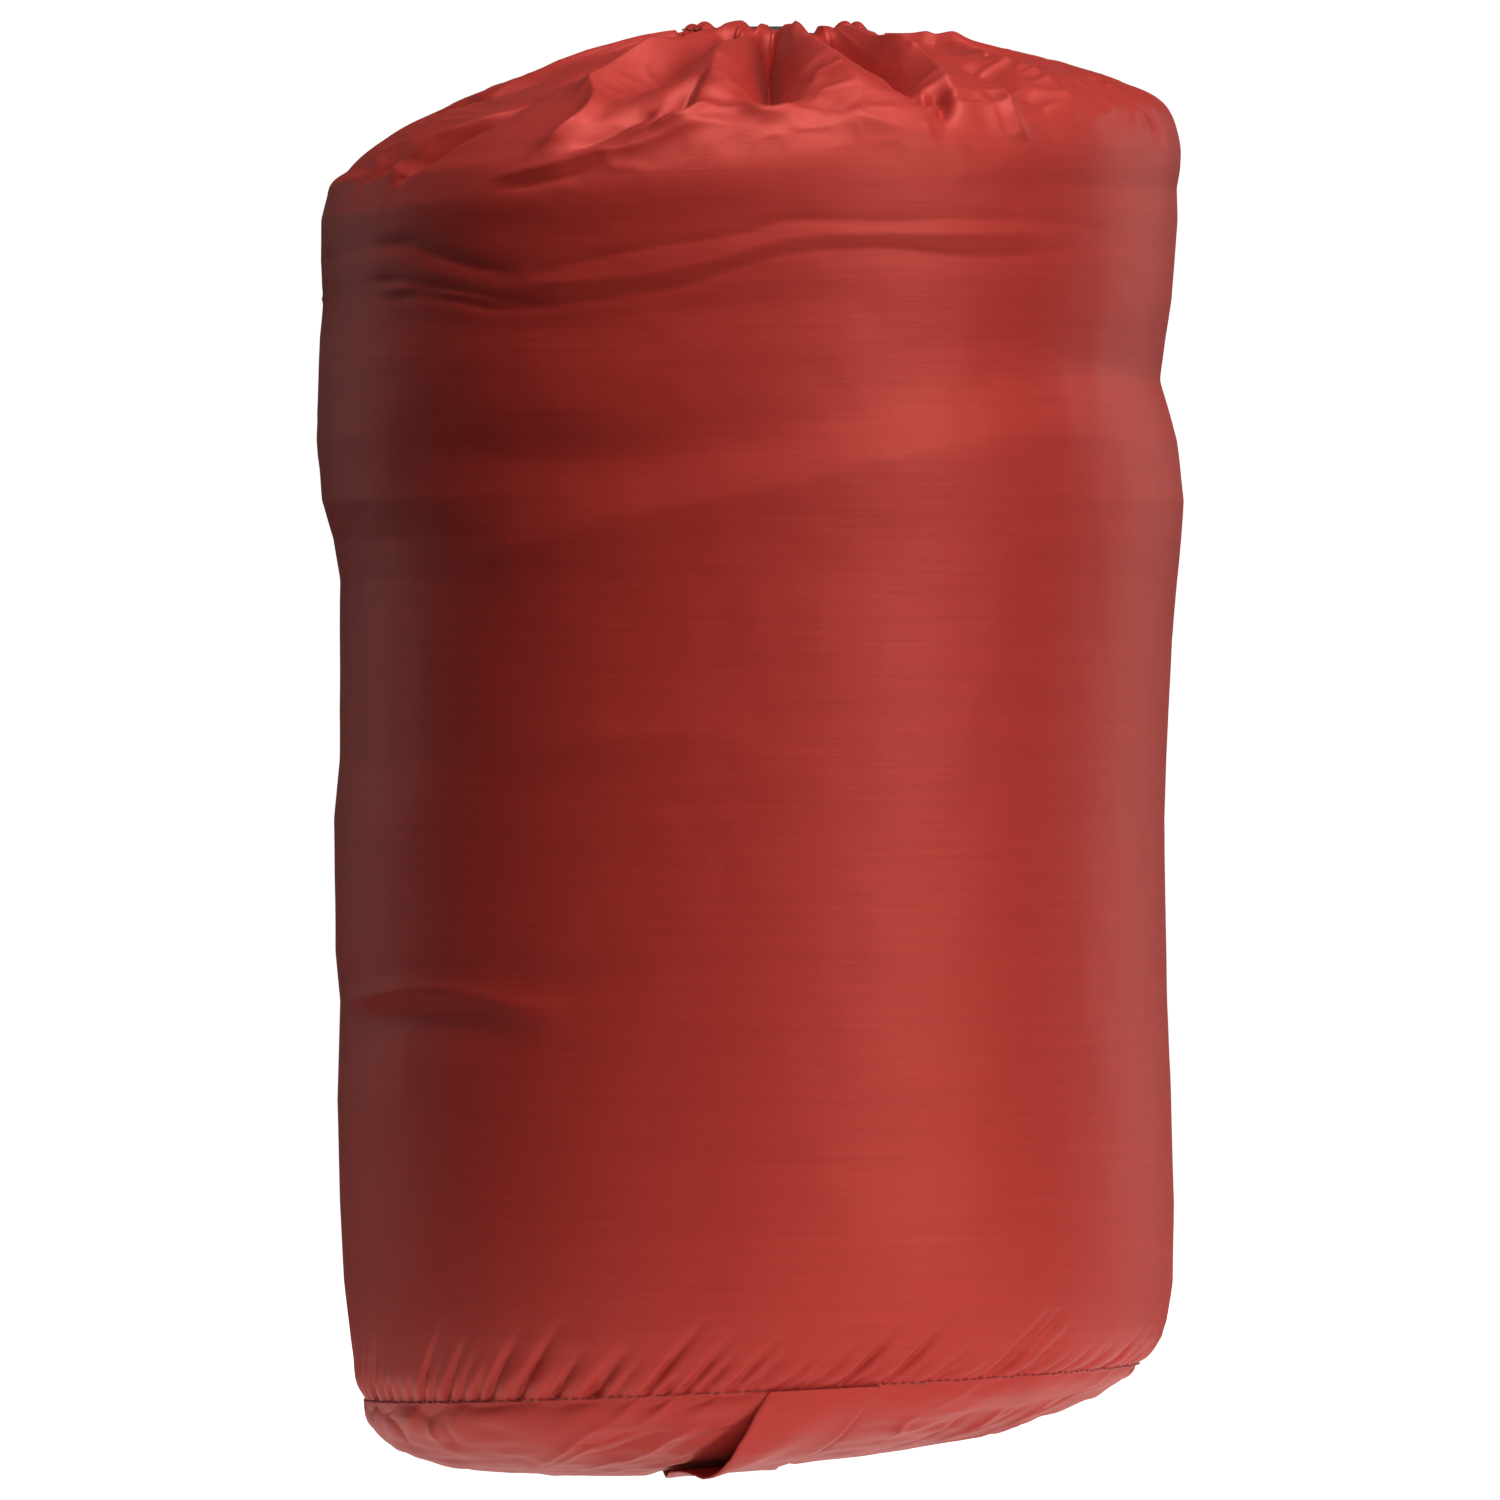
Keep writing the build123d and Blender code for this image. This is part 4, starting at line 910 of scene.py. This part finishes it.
def strap_edge_row(k, crossings, sign):
    """One row of the strap over the end panel: sign is -1 at the front, +1 at the back."""
    r, cx, cz, sx, sy = strap_track[k]
    order = sorted(crossings)
    middle = np.interp(r, [c[0] for c in order], [c[1] for c in order])
    x = middle + offsets * STRAP_WIDE
    y = sign * np.sqrt(np.maximum(r * r - (x - cx) ** 2, 1.0))
    return np.stack([x, y, cz + sx * (x - cx) + sy * y], axis=-1)


# The strap follows the panel in from the seam, front and back, and runs flat between the two.
last = int(np.searchsorted(-strap_track[:, 0], -FLAT_RADIUS))
picks = np.linspace(0, last, STRAP_ROWS).astype(int)
front_rows = np.array([strap_edge_row(k, STRAP_FRONT, -1) for k in picks])
back_rows = np.array([strap_edge_row(k, STRAP_BACK, 1) for k in picks])[::-1]
across_flat = np.linspace(0, 1, FLAT_ROWS + 2)[1:-1, None, None]
flat_rows = front_rows[-1] * (1 - across_flat) + back_rows[0] * across_flat
sag = 4.0 * across_flat[..., 0] * (1 - across_flat[..., 0])
flat_z = FLAT_HEIGHT + FLAT_SLOPE * np.maximum(flat_rows[..., 0] - SLOPE_FROM_X, 0)
flat_rows[..., 2] = flat_rows[..., 2] * (1 - sag) + flat_z * sag
middle = np.concatenate([front_rows, flat_rows, back_rows])
outward = np.cross(np.gradient(middle, axis=0), np.gradient(middle, axis=1))
outward /= np.maximum(np.linalg.norm(outward, axis=-1, keepdims=True), 1e-9)
outward *= np.where(outward[..., 2:] > 0, -1.0, 1.0)

# Both ends are tucked into the seam. Near the front the left edge stands off the panel.
down_strap = np.arange(len(middle))[:, None] / STRAP_ROWS
tucked = smoothstep(down_strap, 0, TUCK_LENGTH) * smoothstep(down_strap[-1] - down_strap, 0, TUCK_LENGTH)
stand = 6.5 * hill(down_strap, 0.42, 0.26) * np.clip(0.5 - offsets, 0, 1) ** 1.4
wave = 0.35 * np.sin(offsets * 8 + down_strap * 9) * hill(down_strap, 0.4, 0.4)
folded_edge = 0.25 * hill(np.abs(offsets), 0.46, 0.05)
middle = middle + outward * ((STRAP_CLEARANCE + stand + wave + folded_edge) * tucked)[..., None]
half_thick = outward * STRAP_THICK / 2
strap_grid = np.concatenate([middle + half_thick, (middle - half_thick)[:, ::-1]], axis=1)
strap_grid[..., 2] = np.maximum(strap_grid[..., 2], 0.0)
strap = mesh_from_grid("base_strap_band", strap_grid)
sack_piece(strap, "sack_cloth", "base_strap")

# ================================
# Stitches: of the base seam, between its two panels, and of the hem channel
# ================================
STITCH_RISE = 0.05
STITCH_SIDES = 6
STITCH_RINGS = (-0.5, -0.25, 0.0, 0.25, 0.5)


def stitches(name, lines, step, length, thick):
    """Rows of small rounded stitches: each line is its points and the outward normals there."""
    verts, faces = [], []
    for points, normals in lines:
        total = np.concatenate([[0], np.cumsum(np.linalg.norm(np.diff(points, axis=0), axis=1))])
        for d in np.arange(step, total[-1] - step, step):
            add_stitch(verts, faces, points, normals, total, d, length, thick)
    return add_mesh(name, verts, faces)


def add_stitch(verts, faces, points, normals, total, d, length, thick):
    """One stitch, centred at length d along the line."""
    row = []
    for q in STITCH_RINGS:
        at = d + q * length
        point = np.array([np.interp(at, total, points[:, c]) for c in range(3)])
        out = np.array([np.interp(at, total, normals[:, c]) for c in range(3)])
        out /= np.linalg.norm(out)
        row.append((point + out * (thick * (1 - (2 * q) ** 2) + STITCH_RISE), out))
    start = len(verts)
    last = len(row) - 1
    for n, (point, out) in enumerate(row):
        side = np.cross(out, row[-1][0] - row[0][0])
        side /= np.linalg.norm(side)
        slim = thick * (0.5 if n in (0, last) else 1.0)
        for k in range(STITCH_SIDES):
            a = 2 * math.pi * k / STITCH_SIDES
            verts.append(tuple((point + slim / 2 * (math.cos(a) * side + math.sin(a) * out)) * MM))
    for n in range(last):
        near = start + STITCH_SIDES * n
        far = near + STITCH_SIDES
        for k in range(STITCH_SIDES):
            m = (k + 1) % STITCH_SIDES
            faces.append((near + k, near + m, far + m, far + k))
    faces.append(tuple(start + k for k in range(STITCH_SIDES - 1, -1, -1)))
    faces.append(tuple(far + k for k in range(STITCH_SIDES)))


wall_normal = grid_normals(wall)
seam_line = np.vstack([wall[0], wall[0, :1]])
seam_out = np.vstack([wall_normal[1], wall_normal[1, :1]])
seam_stitch = stitches("base_seam_stitches", [(seam_line, seam_out)], step=3.1, length=2.1, thick=0.42)
sack_piece(seam_stitch, "sack_thread", "base_seam_thread")

# Stitches of the hem channel, on its outer shoulder, stopping short of its two ends.
HEM_STITCH_TURN = math.radians(40.0)
HEM_END_STEPS = 14
hem_side = round(HEM_STITCH_TURN / (2 * math.pi) * HEM_ROUND)
stitched = hem[HEM_END_STEPS:-HEM_END_STEPS]
hem_line = stitched[:, hem_side]
hem_out = hem_line - stitched.mean(axis=1)
hem_stitch = stitches("channel_stitches", [(hem_line, hem_out)], step=3.0, length=2.0, thick=0.4)
sack_piece(hem_stitch, "sack_thread", "channel_thread")

# ================================
# Side seam down the back: a felled strip and its two stitch lines
# ================================
SEAM_AZIMUTH = math.radians(125.0)
SEAM_HALF = 4
STITCH_COLUMNS = 3
SEAM_FROM_BASE = 2.0
SEAM_FROM_MOUTH = 14.0
SEAM_PINCH = 0.12
FELL_RISE = np.array([0.15, 0.6, 0.75, 0.7, 0.7, 0.7, 0.75, 0.6, 0.15])
FELL_SINK = 0.1
seam_column = int(np.argmin(np.abs(theta - SEAM_AZIMUTH)))
sewn = (height_along > SEAM_FROM_BASE) & (height_along < PROFILE_LENGTH - SEAM_FROM_MOUTH)
seam_rows = np.flatnonzero(sewn)
seam_columns = slice(seam_column - SEAM_HALF, seam_column + SEAM_HALF + 1)
seam_cloth = wall[seam_rows, seam_columns]
seam_away = wall_normal[seam_rows, seam_columns]
pinch = SEAM_PINCH * np.sin(np.arange(len(seam_rows)) * 1.9)[:, None]
fell_top = seam_cloth + seam_away * (FELL_RISE + pinch)[..., None]
fell_under = (seam_cloth - FELL_SINK * seam_away)[:, ::-1]
fell = mesh_from_grid("side_seam_strip", np.concatenate([fell_top, fell_under], axis=1))
sack_piece(fell, "sack_cloth", "side_seam_fell")

side_lines = []
for column in (SEAM_HALF - STITCH_COLUMNS, SEAM_HALF + STITCH_COLUMNS):
    side_lines.append((fell_top[:, column], seam_away[:, column]))
side_stitch = stitches("side_seam_stitches", side_lines, step=3.2, length=2.2, thick=0.4)
sack_piece(side_stitch, "sack_thread", "side_seam_thread")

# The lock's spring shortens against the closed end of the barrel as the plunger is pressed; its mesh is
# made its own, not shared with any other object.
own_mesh(bpy.data.objects["lock_spring"])

# ================================
# Studio: a closed round white room that only the camera sees, two cards on its floor, soft lights
# Places are in metres, as Blender has them.
# ================================
ROOM_RADIUS = 6.0
ROOM_CURVE = 1.5
ROOM_HEIGHT = 7.0
ROOM_SIDES = 96
CURVE_STEPS = 12
FLAT_FLOOR = 2.0
PINHOLE = 0.001
ROOM_DROP = 0.0002
GLOSS_DROP = 0.0001
WARM = (1.0, 0.97, 0.93)
LIGHT_TARGET = Vector((0, 0, 0.22))


def glow(name, strength, colour=(1, 1, 1), roughness=0.9):
    """White material that shines by itself."""
    mat, tree, shader = new_material(name)
    shader.inputs["Base Color"].default_value = (0.8, 0.8, 0.8, 1)
    shader.inputs["Roughness"].default_value = roughness
    shader.inputs["Emission Color"].default_value = (*colour, 1)
    shader.inputs["Emission Strength"].default_value = strength
    return mat


def floor_card(name, left, right, front, back):
    """A card on the floor that the camera doesn't see and that casts no shadow."""
    corners = [(left, front, 0), (right, front, 0), (right, back, 0), (left, back, 0)]
    card = add_mesh(name, corners, [(0, 1, 2, 3)])
    card.visible_camera = False
    card.visible_shadow = False
    return card


def area_light(name, location, size, power, colour=(1, 1, 1)):
    """A rectangular light that looks at the middle of the sack."""
    data = bpy.data.lights.new(name, "AREA")
    data.shape = "RECTANGLE"
    data.size, data.size_y = size
    data.energy = power
    data.color = colour
    light = add_object(name, data)
    light.location = location
    light.rotation_euler = (LIGHT_TARGET - light.location).to_track_quat("-Z", "Y").to_euler()
    return light


outline = [(PINHOLE, 0.0), (FLAT_FLOOR, 0.0)]
for a in np.linspace(0, math.pi / 2, CURVE_STEPS):
    outline.append((ROOM_RADIUS - ROOM_CURVE * (1 - math.sin(a)), ROOM_CURVE * (1 - math.cos(a))))
outline += [(ROOM_RADIUS, ROOM_HEIGHT), (PINHOLE, ROOM_HEIGHT)]
room_angle = np.linspace(0, 2 * math.pi, ROOM_SIDES, endpoint=False)
room_grid = np.array([[(r * math.cos(a), r * math.sin(a), z - ROOM_DROP) for a in room_angle]
                      for r, z in outline])
room = mesh_from_grid("studio_room", room_grid / MM)
room.visible_glossy = False
room.visible_diffuse = False
room.visible_shadow = False
room.data.materials.append(glow("studio_white", 0.96))

# A dim card on the floor close round the sack throws light up under its end panel.
card = floor_card("floor_card", -0.34, 0.34, -0.30, 0.25)
card.visible_glossy = False
card.data.materials.append(glow("floor_card", 0.12))

# A bright one that is seen only in reflections is the pale gloss of a white floor on the end panel.
gloss = floor_card("floor_gloss", -0.2, 0.34, -0.34, 0.1)
gloss.visible_diffuse = False
gloss.location.z = -GLOSS_DROP
gloss.data.materials.append(glow("floor_gloss", 1.0, (1, 0.97, 0.95), 0.5))

area_light("key", (1.98, -2.2, 0.9), (0.65, 1.7), 42, WARM)
area_light("rim_right", (1.7, 1.1, 0.6), (0.4, 1.6), 8)
area_light("rim_left", (-1.8, 1.1, 0.5), (0.4, 1.4), 3)
area_light("top", (0.2, -0.8, 1.9), (0.9, 0.6), 18, WARM)

# A softbox overhead, seen only in reflections, is the pale gloss on the crown.
top_gloss = area_light("top_gloss", (0.2, -0.5, 1.9), (2.2, 1.6), 24)
top_gloss.visible_diffuse = False

world = bpy.data.worlds.new("studio")
world.use_nodes = True
world.node_tree.nodes["Background"].inputs["Color"].default_value = (1, 1, 1, 1)
world.node_tree.nodes["Background"].inputs["Strength"].default_value = 0.035
bpy.context.scene.world = world
bpy.context.scene.view_settings.view_transform = "Standard"
